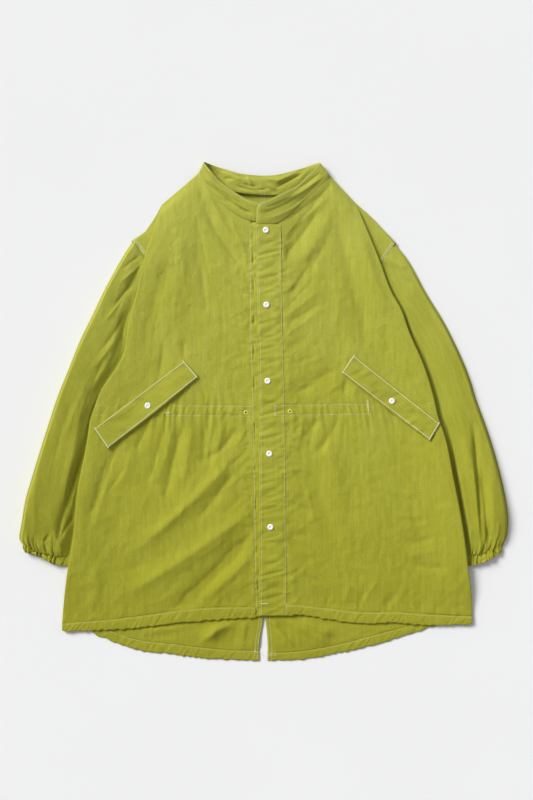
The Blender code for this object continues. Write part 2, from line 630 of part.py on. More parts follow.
def front_sheet(side):
    """One front: upper layer, rounded side fold, the cloth turned in, and the pleat or seam."""
    shape = FrontShape(side)
    sign = SIGN[side]
    middle = WAIST_LINE[side][1]
    armhole = [(x, y, 0.0) for x, y in SHOULDER_EDGE[side]]
    sheet = Sheet()
    last_top = last_side = None
    for number, fold_y in enumerate(front_rows(side)):
        count = FRONT_COLUMNS
        if abs(fold_y - middle) < WAIST_HALF + 1:
            count = WAIST_COLUMNS
        elif abs(fold_y - middle) < 25:
            count = 2 * FRONT_COLUMNS
        s = np.linspace(0.0, 1.0, count + 1)
        x, y, z = shape.row(fold_y, s)
        top_row = sheet.row(np.stack([x, y, z], 1))
        side_points = side_chain(shape, number, fold_y, (x[-1], y[-1], z[-1]), armhole, sign)
        side_row = [top_row[-1]] + sheet.row(side_points)
        if number == 0:
            side_row = [top_row[-1]] * len(side_row)
        elif number == UNDERARM_ROW:
            side_row = side_row[:-4] + [side_row[-5]] * 4
        if last_top is not None:
            sheet.bridge(last_top, top_row)
            sheet.bridge(last_side, side_row)
        last_top, last_side = top_row, side_row
    return sheet


def side_chain(shape, number, fold_y, start, armhole, sign):
    """Points from the upper layer's last one round the fold, in beneath, and to the seam."""
    x0, y0, z0 = start
    radius = float(shape.radius(fold_y))
    low = min(float(shape.side_at(fold_y, "under")), z0 - CLOTH - SEAM_GAP)
    half = (z0 - low) / 2
    tuck = float(shape.side_at(fold_y, "tuck"))
    chain = [(x0 + sign * radius * math.sin(a), y0, low + half + half * math.cos(a))
             for a in (math.pi / 3, 2 * math.pi / 3, math.pi)]
    if number < UNDERARM_ROW:
        crease_x = x0 - sign * tuck
        chain.append((mix(x0, crease_x, 0.5), y0, low))
        chain.append((crease_x, y0, low))
        out_x, out_y, _ = armhole[number]
        below = max(SHOULDER_HEIGHT, min(ARMHOLE_HEIGHT, low - CLOTH - 0.5))
        outer = SHOULDER_HEIGHT if number < 3 else ARMHOLE_HEIGHT
        for share in (0.0, 0.33, 0.67, 1.0):
            height = mix(below, outer, ease(share))
            chain.append((mix(crease_x, out_x, share), mix(y0, out_y, share), height))
        return chain
    seam_x = x0 - sign * tuck
    over_sleeve = mix(x0, seam_x, 0.66)
    chain.append((mix(x0, over_sleeve, 0.5), y0, low))
    chain.append((over_sleeve, y0, low))
    for share in (0.3, 0.55, 0.8, 1.0):
        chain.append((mix(over_sleeve, seam_x, share), y0, mix(low, LYING, ease(share))))
    return chain


# ---------------------------------------------------------------- backs

def back_sheet(side):
    """Half of the back, flat on the surface, then its fishtail with soft folds."""
    shape = FrontShape(side)
    sign = SIGN[side]
    rows = list(BACK_ROWS[side])
    for y in front_rows(side)[UNDERARM_ROW:]:
        if y > BACK_END:
            outer_x = float(shape.seam_x(y)) - sign * SEAM_GAP
            rows.append(Back(BACK_MIDDLE[side], y, outer_x, y))
    rows.append(Back(BACK_MIDDLE[side], BACK_END, float(shape.seam_x(BACK_END)) - sign, BACK_END))
    sheet = Sheet()
    for row in rows:
        s = np.linspace(0.0, 1.0, (BACK_COLUMNS if row is rows[-1] else 4) + 1)
        x, y = mix(row.inner_x, row.outer_x, s), mix(row.inner_y, row.outer_y, s)
        sheet.add(np.stack([x, y, np.full_like(x, LYING)], 1))
    start_y = rows[-1].inner_y
    tail = FISHTAIL[side]
    slit_y = [p[1] for p in SLIT[side]]
    for q in (0.25, 0.5, 0.75, 1.0):
        inner_y = mix(start_y, tail[0].stitch, q)
        inner_x = float(smooth_through(-inner_y, [-v for v in slit_y],
                                       [p[0] for p in SLIT[side]]))
        outer_x = mix(rows[-1].outer_x, tail[-1].x, q)
        x = mix(inner_x, outer_x, s)
        y = mix(start_y, hem_curve(tail, "stitch", x), q)
        relief = fold_relief(x, y, TAIL_FOLDS) * ease(1.0 - abs(q - 0.5)) * ease((1.0 - q) / 0.3)
        sheet.add(np.stack([x, y, LYING + relief], 1))
    return sheet


def puckers(share, count, depth, seed_turn):
    """Uneven small waves along a channel."""
    wander = 0.5 * np.sin(7.0 * share + seed_turn) + 0.3 * np.sin(17.0 * share + 2 * seed_turn)
    strength = 0.65 + 0.35 * np.sin(11.0 * share + 3 * seed_turn)
    return depth * strength * np.sin(2 * math.pi * (count * share + wander))


def channel_sheet(rows, height, lying, turn):
    """A hem channel from its stitch row to its edge, puckered along its length."""
    sheet = Sheet()
    share = np.linspace(0.0, 1.0, HEM_COLUMNS + 1)
    x = mix(rows[0].x, rows[-1].x, share)
    wave = puckers(share, HEM_PUCKERS, HEM_PUCKER_DEPTH, turn)
    for q in (0.0, 0.5, 1.0):
        y = mix(hem_curve(rows, "stitch", x) - SEAM_GAP, hem_curve(rows, "edge", x), q)
        z = height(share) + wave * (0.5 + 0.5 * q) * np.minimum(1.0, 4 * (1.0 - share))
        slant = 2.5 * q * np.sin(5.0 * share + turn)
        sheet.add(np.stack([x + slant * np.sin(math.pi * share), y,
                            np.maximum(z, lying)], 1))
    return sheet


# ---------------------------------------------------------------- sleeves and cuffs

def free_of_body(side, x, y):
    """0 where the body's side fold covers a sleeve, rising to 1 a little way outside it."""
    shape = FrontShape(side)
    lowest, highest = shape.fold[-1].y, shape.fold[0].y
    fold_x = shape.side_at(np.clip(y, lowest, highest), "x")
    return np.clip((SIGN[side] * (x - fold_x) - 1.0) / SLEEVE_FALL, 0.0, 1.0)


def sleeve_ring(side, at, around, folded=True):
    """Points round a sleeve at a station: over the top from the outer edge, and back beneath."""
    rows = SLEEVES[side]
    stations = np.linspace(0.0, 1.0, len(rows))
    value = {key: float(smooth_through(at, stations, [getattr(row, key) for row in rows]))
             for key in Sleeve._fields}
    inner_x = float(FrontShape(side).side_at(value["inner_y"], "x")) - SIGN[side] * value["tuck"]
    width = math.hypot(inner_x - value["x"], value["inner_y"] - value["y"])
    inset = min(value["tucked"] / 2 + 0.6, 3.2) / width

    def across(reach):
        x = mix(value["x"], inner_x, reach)
        y = mix(value["y"], value["inner_y"], reach)
        return x, y - value["bow"] * np.sin(math.pi * np.clip(reach, 0.0, 1.0))

    top, edge, under = around
    share = np.linspace(0.0, 1.0, top + 1)
    at_x, at_y = across(mix(inset, 1 - inset, share))
    rise = ease(share / value["crown_at"])**0.6 * ease(free_of_body(side, at_x, at_y))
    over = value["tucked"] + (value["crown"] - value["tucked"]) * rise
    if folded:
        relief = fold_relief(at_x, at_y, SLEEVE_FOLDS[side])
        relief = np.maximum(relief, -np.maximum(over - value["tucked"], 0.0) - 0.4)
        over = over + relief * ease(share / 0.12) * ease(free_of_body(side, at_x, at_y) * 3.0)
    over = np.maximum(over, LYING + CLOTH + 0.6)
    points = list(zip(at_x, at_y, over))
    turns = np.linspace(0.0, math.pi, edge + 2)[1:-1]
    for turn in turns:
        half = (over[-1] - LYING) / 2
        x, y = across(1 - inset + inset * math.sin(turn))
        points.append((x, y, LYING + half + half * math.cos(turn)))
    for share_back in np.linspace(1 - inset, inset, under + 1):
        points.append((*across(share_back), LYING))
    for turn in turns[::-1]:
        half = (over[0] - LYING) / 2
        x, y = across(inset - inset * math.sin(turn))
        points.append((x, y, LYING + half + half * math.cos(turn)))
    return np.array(points)


def sleeve_sheet(side):
    sheet = Sheet()
    for at in np.linspace(0.0, 1.0, SLEEVE_STATIONS + 1):
        ring = sheet.row(sleeve_ring(side, at, (13, 2, 5)))
        ring.append(ring[0])
        if sheet.last is not None:
            sheet.bridge(sheet.last, ring)
        sheet.last = ring
    return sheet


def cuff_sheet(side):
    """The elasticated end of a sleeve: a puckered ring that runs on from the sleeve."""
    upper = sleeve_ring(side, 1.0, (25, 2, 12), folded=False)
    edge = along([(x, y, 0) for x, y in CUFF_EDGE[side]], 31)
    down = edge[15, :2] - upper[12, :2]
    down = down / np.linalg.norm(down)
    reach = (upper[:, 0] - upper[:, 0].min()) / np.ptp(upper[:, 0])
    if side == "right":
        reach = 1.0 - reach
    target = np.stack([np.interp(reach, np.linspace(0, 1, 31), edge[:, k]) for k in range(2)], 1)
    turn = np.arange(len(upper)) / len(upper)
    wave = CUFF_PLEAT_DEPTH * np.sin(2 * math.pi * CUFF_PLEATS * turn + np.sin(9 * turn))
    floor = upper[:, 2] < LYING + 0.01
    sheet = Sheet()
    for q in (0.0, 0.5, 1.0):
        flat = mix(upper[:, :2] + (CLOTH / 2 + SEAM_GAP) * down, target, q)
        height = mix(upper[:, 2], 1.2 + 0.62 * upper[:, 2], q)
        puff = wave * math.sin(math.pi * (0.15 + 0.75 * q)) ** 0.5
        open_air = ease(free_of_body(side, flat[:, 0], flat[:, 1]) * 2.0)
        height = mix(np.minimum(height, 4.0), height + puff, open_air)
        z = np.where(floor, LYING + 0.5 * (wave + CUFF_PLEAT_DEPTH) * open_air * q,
                     np.maximum(height, CLOTH + 2.0))
        ring = sheet.row(np.stack([flat[:, 0], flat[:, 1], z], 1))
        ring.append(ring[0])
        if sheet.last is not None:
            sheet.bridge(sheet.last, ring)
        sheet.last = ring
    return sheet


# ---------------------------------------------------------------- collar, placket, flaps

def collar_sheet():
    """The stand collar: rows across the band at each station round the neck."""
    sheet = Sheet()
    for line in collar_lines(np.linspace(0.0, len(COLLAR) - 1.0, 2 * len(COLLAR) - 1)):
        top, seam = line[:3], line[3:]
        points = []
        for share in np.linspace(0.0, 1.0, BAND_SEGMENTS_ACROSS + 1):
            point = mix(top, seam, share)
            point[2] += 1.4 * math.sin(math.pi * share) * (seam[2] > 4.5)
            points.append(point)
        sheet.add(points)
    return sheet


def placket_sheet(outer, inner, height, first_y, last_y, rows):
    """A strip down the front edge between two lines, with a slight ripple."""
    sheet = Sheet()
    for y in np.linspace(first_y, last_y, rows + 1):
        x = mix(outer(y), inner(y), np.linspace(0.0, 1.0, 4))
        ripple = 0.45 * np.sin(y / 14.0 + 0.05 * x + 1.2 * math.sin(y / 31.0))
        sheet.add(np.stack([x, np.full(4, y), height(y) + ripple], 1))
    return sheet


def flap_sheet(side, ground):
    """A pocket flap that lies on its front, from the front's own heights, moved out."""
    top_in, low_in, low_out, top_out = [np.array(p, float) for p in FLAPS[side]]
    sheet = Sheet()
    for along_flap in np.linspace(0.0, 1.0, 13):
        points = []
        for across in np.linspace(0.0, 1.0, 4):
            start, end = mix(top_in, low_in, across), mix(top_out, low_out, across)
            x, y = mix(start, end, along_flap)
            bow = 2.2 * math.sin(math.pi * along_flap) * across
            y -= bow
            nearby = [ground(x + dx, y + dy) for dx in (-6, 0, 6) for dy in (-6, 0, 6)]
            rest = max(h for h in nearby if h is not None)
            lift = FLAP_LIFT * across * math.sin(math.pi * (0.15 + 0.7 * along_flap))
            points.append((x, y, rest + CLEAR + DOUBLED / 2 + lift))
        sheet.add(points)
    return sheet


# ---------------------------------------------------------------- the parka

def build():
    pieces = {}
    for side in ("left", "right"):
        flip = side == "left"
        pieces["front_" + side] = cloth_object("front_" + side, front_sheet(side), CLOTH,
                                               flip=not flip)
        pieces["back_" + side] = cloth_object("back_" + side, back_sheet(side), CLOTH,
                                              flip=not flip)
        pieces["sleeve_" + side] = cloth_object("sleeve_" + side, sleeve_sheet(side), CLOTH,
                                                flip=flip)
        pieces["cuff_" + side] = cloth_object("cuff_" + side, cuff_sheet(side), CLOTH, flip=flip)
        lap = LAP_STEP if side == "right" else 0.0

        def hem_height(share, lap=lap):
            return HEM_HEIGHT + 0.8 * ease((share - 0.8) / 0.2) + lap * ease(1 - share / 0.15)

        front_channel = channel_sheet(FRONT_HEM[side], hem_height, 0.9, 1.0)
        pieces["hem_front_" + side] = cloth_object("hem_front_" + side, front_channel, DOUBLED,
                                                   flip=not flip)
        back_channel = channel_sheet(FISHTAIL[side], lambda share: DOUBLED / 2 + 0.3,
                                     DOUBLED / 2, 2.0)
        pieces["hem_back_" + side] = cloth_object("hem_back_" + side, back_channel, DOUBLED,
                                                  flip=not flip)
    pieces["collar_band"] = cloth_object("collar_band", collar_sheet(), DOUBLED)

    def under_height(y):
        return mix(LAP_HEIGHT, HEM_HEIGHT, ease((y + 270) / -70.0)) + 2.4 * ease((y - 270) / 60)

    pieces["placket_under"] = cloth_object("placket_under", placket_sheet(
        lambda y: float(front_edge_x(y, "left_seam")) + SEAM_GAP,
        lambda y: float(front_edge_x(y, "left_seam")) + SEAM_GAP + UNDER_LAP,
        under_height, 329, -357, 20), CLOTH, flip=True)
    pieces["placket"] = cloth_object("placket", placket_sheet(
        lambda y: float(front_edge_x(y, "lap")),
        lambda y: float(front_edge_x(y, "right_seam")) - SEAM_GAP,
        lambda y: under_height(y) + LAP_STEP + 0.4, 326, -355, 28), DOUBLED, flip=True)
    for side in ("left", "right"):
        ground = top_of([pieces["front_" + side]])
        pieces["flap_" + side] = cloth_object("flap_" + side, flap_sheet(side, ground), DOUBLED,
                                              flip=side == "right")
    snap = [(0.0, SNAP_HEIGHT), (0.45 * SNAP_RADIUS, SNAP_HEIGHT),
            (0.85 * SNAP_RADIUS, 0.8 * SNAP_HEIGHT), (SNAP_RADIUS, 0.35 * SNAP_HEIGHT),
            (0.9 * SNAP_RADIUS, 0.0), (0.0, 0.0)]
    for number, (x, y) in enumerate(SNAPS, 1):
        top = seat_height(top_of([pieces["placket"]]), x, y, SNAP_RADIUS)
        turned_object(f"snap_{number}", snap, 14, (x, y, top + SEAM_GAP), WHITE, 0.35)
    for side, (x, y) in FLAP_SNAPS.items():
        top = seat_height(top_of([pieces["flap_" + side]]), x, y, SNAP_RADIUS)
        turned_object("snap_flap_" + side, snap, 14, (x, y, top + SEAM_GAP), WHITE, 0.35)
    rim = [(EYELET_HOLE, 0.25 * EYELET_HEIGHT), (EYELET_HOLE, 0.75 * EYELET_HEIGHT),
           (0.5 * (EYELET_HOLE + EYELET_RADIUS), EYELET_HEIGHT), (EYELET_RADIUS, 0.4 * EYELET_HEIGHT),
           (EYELET_RADIUS, 0.0), (EYELET_HOLE, 0.0), (EYELET_HOLE, 0.25 * EYELET_HEIGHT)]
    for side, (x, y) in EYELETS.items():
        top = seat_height(top_of([pieces["front_" + side]]), x, y, EYELET_RADIUS)
        turned_object("eyelet_" + side, rim, 14, (x, y, top + SEAM_GAP), BRASS, 0.35, 0.9)


def seat_height(ground, x, y, radius):
    """The highest point of the cloth under a round fitting."""
    reach = [(x + radius * r * math.cos(a), y + radius * r * math.sin(a))
             for r in (0.0, 0.5, 1.0) for a in np.linspace(0.0, 2 * math.pi, 9)[:-1]]
    found = [ground(*point) for point in reach]
    return max(h for h in found if h is not None)


build()
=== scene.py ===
# %% [markdown]
# # A fishtail parka laid flat
# An oversized parka in crisp lime cloth lies on its back on a pale surface, with its sleeves drawn
# down at its sides. Each cell below makes one piece that a maker would cut and sew. Sizes are in
# millimetres in the tables and become metres when a mesh is made. +X is the viewer's right, +Y
# runs from the hem up to the neck, and +Z comes up off the surface. Left and right are the
# viewer's.

# %% Load the solids that the pieces stand for
import math
from collections import namedtuple

import bmesh
import bpy
import numpy as np
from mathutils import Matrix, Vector
from mathutils.bvhtree import BVHTree


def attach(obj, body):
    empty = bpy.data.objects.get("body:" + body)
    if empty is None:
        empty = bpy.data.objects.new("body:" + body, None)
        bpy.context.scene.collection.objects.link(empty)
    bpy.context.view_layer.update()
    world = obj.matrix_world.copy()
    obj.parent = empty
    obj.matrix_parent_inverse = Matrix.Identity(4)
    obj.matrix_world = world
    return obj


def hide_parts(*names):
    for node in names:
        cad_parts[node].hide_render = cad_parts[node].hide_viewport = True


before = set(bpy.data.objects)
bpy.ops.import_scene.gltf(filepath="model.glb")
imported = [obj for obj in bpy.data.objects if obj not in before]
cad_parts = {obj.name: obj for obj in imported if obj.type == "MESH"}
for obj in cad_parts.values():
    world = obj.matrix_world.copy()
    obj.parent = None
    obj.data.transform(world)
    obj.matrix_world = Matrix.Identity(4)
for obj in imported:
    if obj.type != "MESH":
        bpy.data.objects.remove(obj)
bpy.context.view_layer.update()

MM = 0.001
SIGN = {"left": -1.0, "right": 1.0}

# %% [markdown]
# ## Camera
# The garment is seen straight from above. A long lens keeps the view nearly parallel, so the
# sides of the sleeves don't lean. The distance follows from the width that the view takes in:
# a portrait frame 1.4 m tall on a 36 mm sensor behind an 85 mm lens.

# %% Camera
def placed(name, data):
    """A new object with this mesh, lamp or camera, linked to the scene."""
    thing = bpy.data.objects.new(name, data)
    bpy.context.scene.collection.objects.link(thing)
    return thing


VIEW_TALL = 1.400
VIEW_CENTRE = (0.0051, 0.0217)
LENS = 85.0
SENSOR = 36.0
camera = placed("camera", bpy.data.cameras.new("camera"))
camera.data.lens = LENS
camera.data.sensor_width = SENSOR
camera.location = (*VIEW_CENTRE, LENS / SENSOR * VIEW_TALL)
camera.data.clip_end = 20.0
bpy.context.scene.camera = camera
print("camera height", round(camera.location.z, 3), "m")

# %% [markdown]
# ## Light and ground
# Product photographs of clothes use a large soft light from one upper corner and a bright room.
# One broad sun from the upper left shapes the folds. A weaker, lower and broader one from the same
# side throws the long soft shadow beside the sleeve. The pale surroundings fill the rest, so no
# fold goes black. The ground is a plain pale sheet.

# %% Light and ground
KEY_STRENGTH, KEY_SPREAD = 3.22, 26.0
LOW_STRENGTH, LOW_SPREAD = 0.44, 60.0
FILL_STRENGTH = 0.385
GROUND_HEIGHT = -0.0002      # just under the plane that the solids rest on, in metres


def far_light(name, strength, spread, toward):
    """A sun of some width; `toward` points from the garment to it."""
    lamp = placed(name, bpy.data.lights.new(name, "SUN"))
    lamp.data.energy = strength
    lamp.data.angle = math.radians(spread)
    lamp.rotation_euler = Vector(toward).to_track_quat("Z", "Y").to_euler()


far_light("key light", KEY_STRENGTH, KEY_SPREAD, (-0.62, 0.53, 0.58))
far_light("low light", LOW_STRENGTH, LOW_SPREAD, (-0.72, 0.58, 0.38))
room = bpy.data.worlds.new("pale room")
room.use_nodes = True
sky = room.node_tree.nodes["Background"].inputs
sky["Color"].default_value = (0.98, 0.99, 1.0, 1.0)
sky["Strength"].default_value = FILL_STRENGTH
bpy.context.scene.world = room
bpy.context.scene.view_settings.view_transform = "Standard"

ground_mesh = bpy.data.meshes.new("ground")
ground_mesh.from_pydata([(x, y, GROUND_HEIGHT) for x, y in ((-4, -4), (4, -4), (4, 4), (-4, 4))],
                        [], [(0, 1, 2, 3)])
ground = placed("ground", ground_mesh)
print("key light", KEY_STRENGTH, "fill", FILL_STRENGTH)

# %% [markdown]
# ## Writing shaders as sums
# A node tree is easier to read when its maths looks like maths. `Value` wraps one socket, and
# the usual signs between two values, or a value and a number, add a Math node. `node` adds any
# other node: its settings first, then its inputs.

# %% Shader maths
class Value:
    """A socket of a node tree that can be added, subtracted, multiplied and divided."""

    def __init__(self, tree, socket):
        self.tree = tree
        self.socket = socket

    def node(self, kind, settings=None, output=0, **inputs):
        made = self.tree.nodes.new(kind)
        for key_name, setting in (settings or {}).items():
            if key_name == "stops":
                ramp = made.color_ramp
                while len(ramp.elements) < len(setting):
                    ramp.elements.new(0.5)
                for element, (place, colour) in zip(ramp.elements, setting):
                    element.position = place
                    element.color = colour
            else:
                setattr(made, key_name, setting)
        for name, value in inputs.items():
            numbered = name[0] == "i" and name[1:].isdigit()
            slot = made.inputs[int(name[1:]) if numbered else name.replace("_", " ")]
            if isinstance(value, Value):
                self.tree.links.new(value.socket, slot)
            else:
                slot.default_value = value
        return Value(self.tree, made.outputs[output])

    def noise(self, scale, detail, **more):
        """Noise over this place."""
        return self.node("ShaderNodeTexNoise", Vector=self, Scale=scale, Detail=detail, **more)

    def _math(self, operation, a, b=0.0):
        return self.node("ShaderNodeMath", {"operation": operation}, i0=a, i1=b)

    def __add__(self, other):
        return self._math("ADD", self, other)

    def __radd__(self, other):
        return self._math("ADD", other, self)

    def __sub__(self, other):
        return self._math("SUBTRACT", self, other)

    def __rsub__(self, other):
        return self._math("SUBTRACT", other, self)

    def __mul__(self, other):
        return self._math("MULTIPLY", self, other)

    def __rmul__(self, other):
        return self._math("MULTIPLY", other, self)

    def __truediv__(self, other):
        return self._math("DIVIDE", self, other)

    def __rtruediv__(self, other):
        return self._math("DIVIDE", other, self)


def new_material(name, roughness, **steady):
    """A material, its shader node, and a Value to start expressions from."""
    material = bpy.data.materials.new(name)
    material.use_nodes = True
    shader = material.node_tree.nodes["Principled BSDF"]
    shader.inputs["Roughness"].default_value = roughness
    for key_name, value in steady.items():
        shader.inputs[key_name.replace("_", " ")].default_value = value
    return material, shader, Value(material.node_tree, None)


def feed(shader, socket, value):
    """Joins a Value to one of the shader's sockets."""
    value.tree.links.new(value.socket, shader.inputs[socket])


print("shader maths ready")

# %% [markdown]
# ## The cloth
# The shell is a plain-woven cotton and nylon: matt, a little papery, dyed a strong yellow-green,
# with slubs that run as faint streaks along the warp. A texture on the piece's own UV map, which
# is in metres along the cloth, keeps thread and streaks at the right size and lets them turn with
# the sleeve. Two waves crossed at right angles make the weave. Stretched noise makes the streaks,
# and a slow, soft noise makes the dye uneven. A little sheen lifts the ridges, as nylon does. The
# colour is also painted paler from the hem up to the neck. This is painted light, for light that
# falls off down the garment.

# %% Cloth material
CLOTH_DARK = (0.362, 0.352, 0.013, 1.0)
CLOTH_MID = (0.430, 0.430, 0.032, 1.0)
CLOTH_PALE = (0.508, 0.517, 0.072, 1.0)
THREADS_PER_METRE = 1900.0


def woven_cloth(name):
    """The shell cloth, with painted light that makes it a little paler from the hem to the neck."""
    material, shader, start = new_material(name, 0.6, Sheen_Weight=0.12, Sheen_Roughness=0.45,
                                           Sheen_Tint=(0.86, 0.90, 0.60, 1.0),
                                           Specular_IOR_Level=0.30)
    place = start.node("ShaderNodeUVMap", {"uv_map": "cloth"})
    across = place.node("ShaderNodeSeparateXYZ", Vector=place)
    along_warp = Value(across.tree, across.socket.node.outputs[1])
    streaks, slubs = [
        place.node("ShaderNodeCombineXYZ", X=across * wide, Y=along_warp * long).noise(1.0, detail)
        for wide, long, detail in ((420.0, 14.0, 3.0), (120.0, 11.0, 2.0))]
    dye, flecks = place.noise(7.0, 3.0), place.noise(360.0, 2.0)
    body = place.node("ShaderNodeTexCoord", output=3)
    apart = body.node("ShaderNodeSeparateXYZ", Vector=body)
    height = Value(body.tree, apart.socket.node.outputs[1])
    # The height term is the place's Y, from hem to neck. It adds painted light: a paler colour
    # towards the neck, for light falling off down the garment.
    tone = streaks * 0.30 + slubs * 0.20 + dye * 0.26 + flecks * 0.34 + height * 0.42
    stops = [(0.36, CLOTH_DARK), (0.55, CLOTH_MID), (0.76, CLOTH_PALE)]
    feed(shader, "Base Color", place.node("ShaderNodeValToRGB", {"stops": stops}, Fac=tone))
    warp, weft = [place.node("ShaderNodeMath", {"operation": "SINE"},
                             i0=way * (THREADS_PER_METRE * 2 * math.pi))
                  for way in (across, along_warp)]
    crinkle = place.noise(210.0, 5.0, Roughness=0.7)
    relief = warp * weft * 0.16 + streaks * 0.35 + crinkle
    bump = place.node("ShaderNodeBump", Height=relief, Strength=1.0, Distance=0.00075)
    feed(shader, "Normal", bump)
    feed(shader, "Roughness", 0.58 + streaks * 0.16)
    return material


cloth_shell = woven_cloth("lime shell cloth")
print("cloth material:", cloth_shell.name)

# %% [markdown]
# ## Thread, snaps, eyelets and ground
# Most topstitching is cream thread, hardly paler than the cloth. The rows of the flaps and the
# armholes and all the bar tacks are white. The snap caps are white enamelled brass, smooth and a
# little glossy, and the eyelets are plain brass that has dulled. The ground has a trace of tone
# so that it doesn't look like a cut-out.

# %% Materials of the fittings and the ground
def plain_finish(name, colour, roughness, noise_scale, uneven, **steady):
    """One colour that wanders a little over the surface, with a fine bump."""
    material, shader, start = new_material(name, roughness, **steady)
    place = start.node("ShaderNodeTexCoord", output=3)
    grain = place.noise(noise_scale, 3.0)
    shade = tuple(c * (1 - uneven) for c in colour) + (1.0,)
    light = tuple(min(1.0, c * (1 + uneven)) for c in colour) + (1.0,)
    stops = {"stops": [(0.35, shade), (0.65, light)]}
    feed(shader, "Base Color", place.node("ShaderNodeValToRGB", stops, Fac=grain))
    feed(shader, "Normal", place.node("ShaderNodeBump", Height=grain, Strength=0.25,
                                      Distance=0.00008))
    return material


cream_thread = plain_finish("cream thread", (0.80, 0.80, 0.52), 0.6, 2600, 0.10, Sheen_Weight=0.3)
white_thread = plain_finish("white thread", (0.90, 0.90, 0.82), 0.6, 2600, 0.06, Sheen_Weight=0.3)
snap_enamel = plain_finish("white snap enamel", (0.92, 0.92, 0.90), 0.30, 900, 0.02,
                           Coat_Weight=0.4, Coat_Roughness=0.15)
dull_brass = plain_finish("dull brass", (0.86, 0.78, 0.17), 0.42, 1500, 0.12, Metallic=0.15)
# The eyelet's hole holds a near-black disc. It is painted shade, for the unlit inside below the
# hole.
painted_shade_disc = plain_finish("painted shade inside an eyelet", (0.02, 0.018, 0.008), 0.8, 900, 0.1)
pale_ground = plain_finish("pale ground", (0.848, 0.848, 0.848), 0.9, 3, 0.004)
ground_mesh.materials.append(pale_ground)
print("six plain finishes")

# %% [markdown]
# ## Curves, blends and uneven waves
# Every outline below is a short table, and `smooth_through` runs a curve through it. `Rumple` is
# a sheet of soft random hills that is the same each time: stretched one way it gives the long
# streaks of a draped cloth, and squeezed it gives crinkles. `fold_relief` raises one ridge or
# trough along a curve through three points, with a crest that is sharper than its foot, because
# crisp cloth bends that way.

# %% Curve and fold helpers
def smooth_through(at, known, values):
    """Value at `at` on a smooth curve through the known stations (rising), one value each."""
    known = np.asarray(known, float)
    values = np.asarray(values, float)
    at = np.clip(np.asarray(at, float), known[0], known[-1])
    slopes = np.gradient(values, known)
    cell = np.clip(np.searchsorted(known, at, side="right") - 1, 0, len(known) - 2)
    width = known[cell + 1] - known[cell]
    u = (at - known[cell]) / width
    return ((2 * u**3 - 3 * u**2 + 1) * values[cell]
            + (u**3 - 2 * u**2 + u) * width * slopes[cell]
            + (3 * u**2 - 2 * u**3) * values[cell + 1]
            + (u**3 - u**2) * width * slopes[cell + 1])


def ease(x):
    """0 to 1 with a soft start and end."""
    x = np.clip(x, 0.0, 1.0)
    return x * x * (3.0 - 2.0 * x)


def mix(a, b, share):
    return a + (b - a) * share


def along(points, count):
    """`count` points spread evenly along a polyline."""
    points = np.asarray(points, float)
    steps = np.linalg.norm(np.diff(points, axis=0), axis=1)
    walked = np.concatenate([[0.0], np.cumsum(steps)])
    at = np.linspace(0.0, walked[-1], count)
    return np.stack([np.interp(at, walked, points[:, k]) for k in range(points.shape[1])], 1)


def hump(value, centre, width, power=2):
    """One smooth hump, 1 high, round `centre`. A higher power makes it flatter on top."""
    return np.exp(-((value - centre) / width)**power)


class Rumple:
    """Soft random hills over (u, v), between -1 and 1."""

    def __init__(self, seed):
        self.hills = np.random.default_rng(seed).uniform(-1.0, 1.0, (61, 67))

    def __call__(self, u, v):
        cell_u, cell_v = np.floor(u).astype(int), np.floor(v).astype(int)
        part_u, part_v = ease(u - cell_u), ease(v - cell_v)

        def hill(i, j):
            return self.hills[(cell_u + i) % 61, (cell_v + j) % 67]

        near = mix(hill(0, 0), hill(1, 0), part_u)
        far = mix(hill(0, 1), hill(1, 1), part_u)
        return mix(near, far, part_v)


def table(kind, text):
    """The rows of numbers in a text, parted by commas, as tuples of one kind."""
    return [kind(*map(float, row.split())) for row in text.split(",")]


Fold = namedtuple("Fold", "x1 y1 x2 y2 x3 y3 width height")


def fold_relief(x, y, folds, pieces=10, crisp=0.22):
    """Height that the folds add at (x, y): each fades towards its ends."""
    relief = np.zeros_like(x, dtype=float)
    t = np.linspace(0.0, 1.0, pieces + 1)
    for fold in folds:
        reach = 4.0 * fold.width
        xs, ys = (fold.x1, fold.x2, fold.x3), (fold.y1, fold.y2, fold.y3)
        near = ((x > min(xs) - reach) & (x < max(xs) + reach)
                & (y > min(ys) - reach) & (y < max(ys) + reach))
        if not near.any():
            continue
        px, py = x[near], y[near]
        path_x = (1 - t)**2 * fold.x1 + 2 * t * (1 - t) * fold.x2 + t**2 * fold.x3
        path_y = (1 - t)**2 * fold.y1 + 2 * t * (1 - t) * fold.y2 + t**2 * fold.y3
        best = np.full(px.shape, 1e9)
        share = np.zeros(px.shape)
        for k in range(pieces):
            run_x, run_y = path_x[k + 1] - path_x[k], path_y[k + 1] - path_y[k]
            length2 = run_x**2 + run_y**2
            s = np.clip(((px - path_x[k]) * run_x + (py - path_y[k]) * run_y) / length2, 0, 1)
            away = (px - path_x[k] - s * run_x)**2 + (py - path_y[k] - s * run_y)**2
            nearer = away < best
            best = np.where(nearer, away, best)
            share = np.where(nearer, (k + s) / pieces, share)
        fade = ease(share / 0.25) * ease((1.0 - share) / 0.25)
        edge = crisp * fold.width
        off = (np.sqrt(best + edge**2) - edge) / (0.70 * fold.width)
        relief[near] += fold.height * (0.15 + 0.85 * fade) * np.exp(-off**1.15)
    return relief


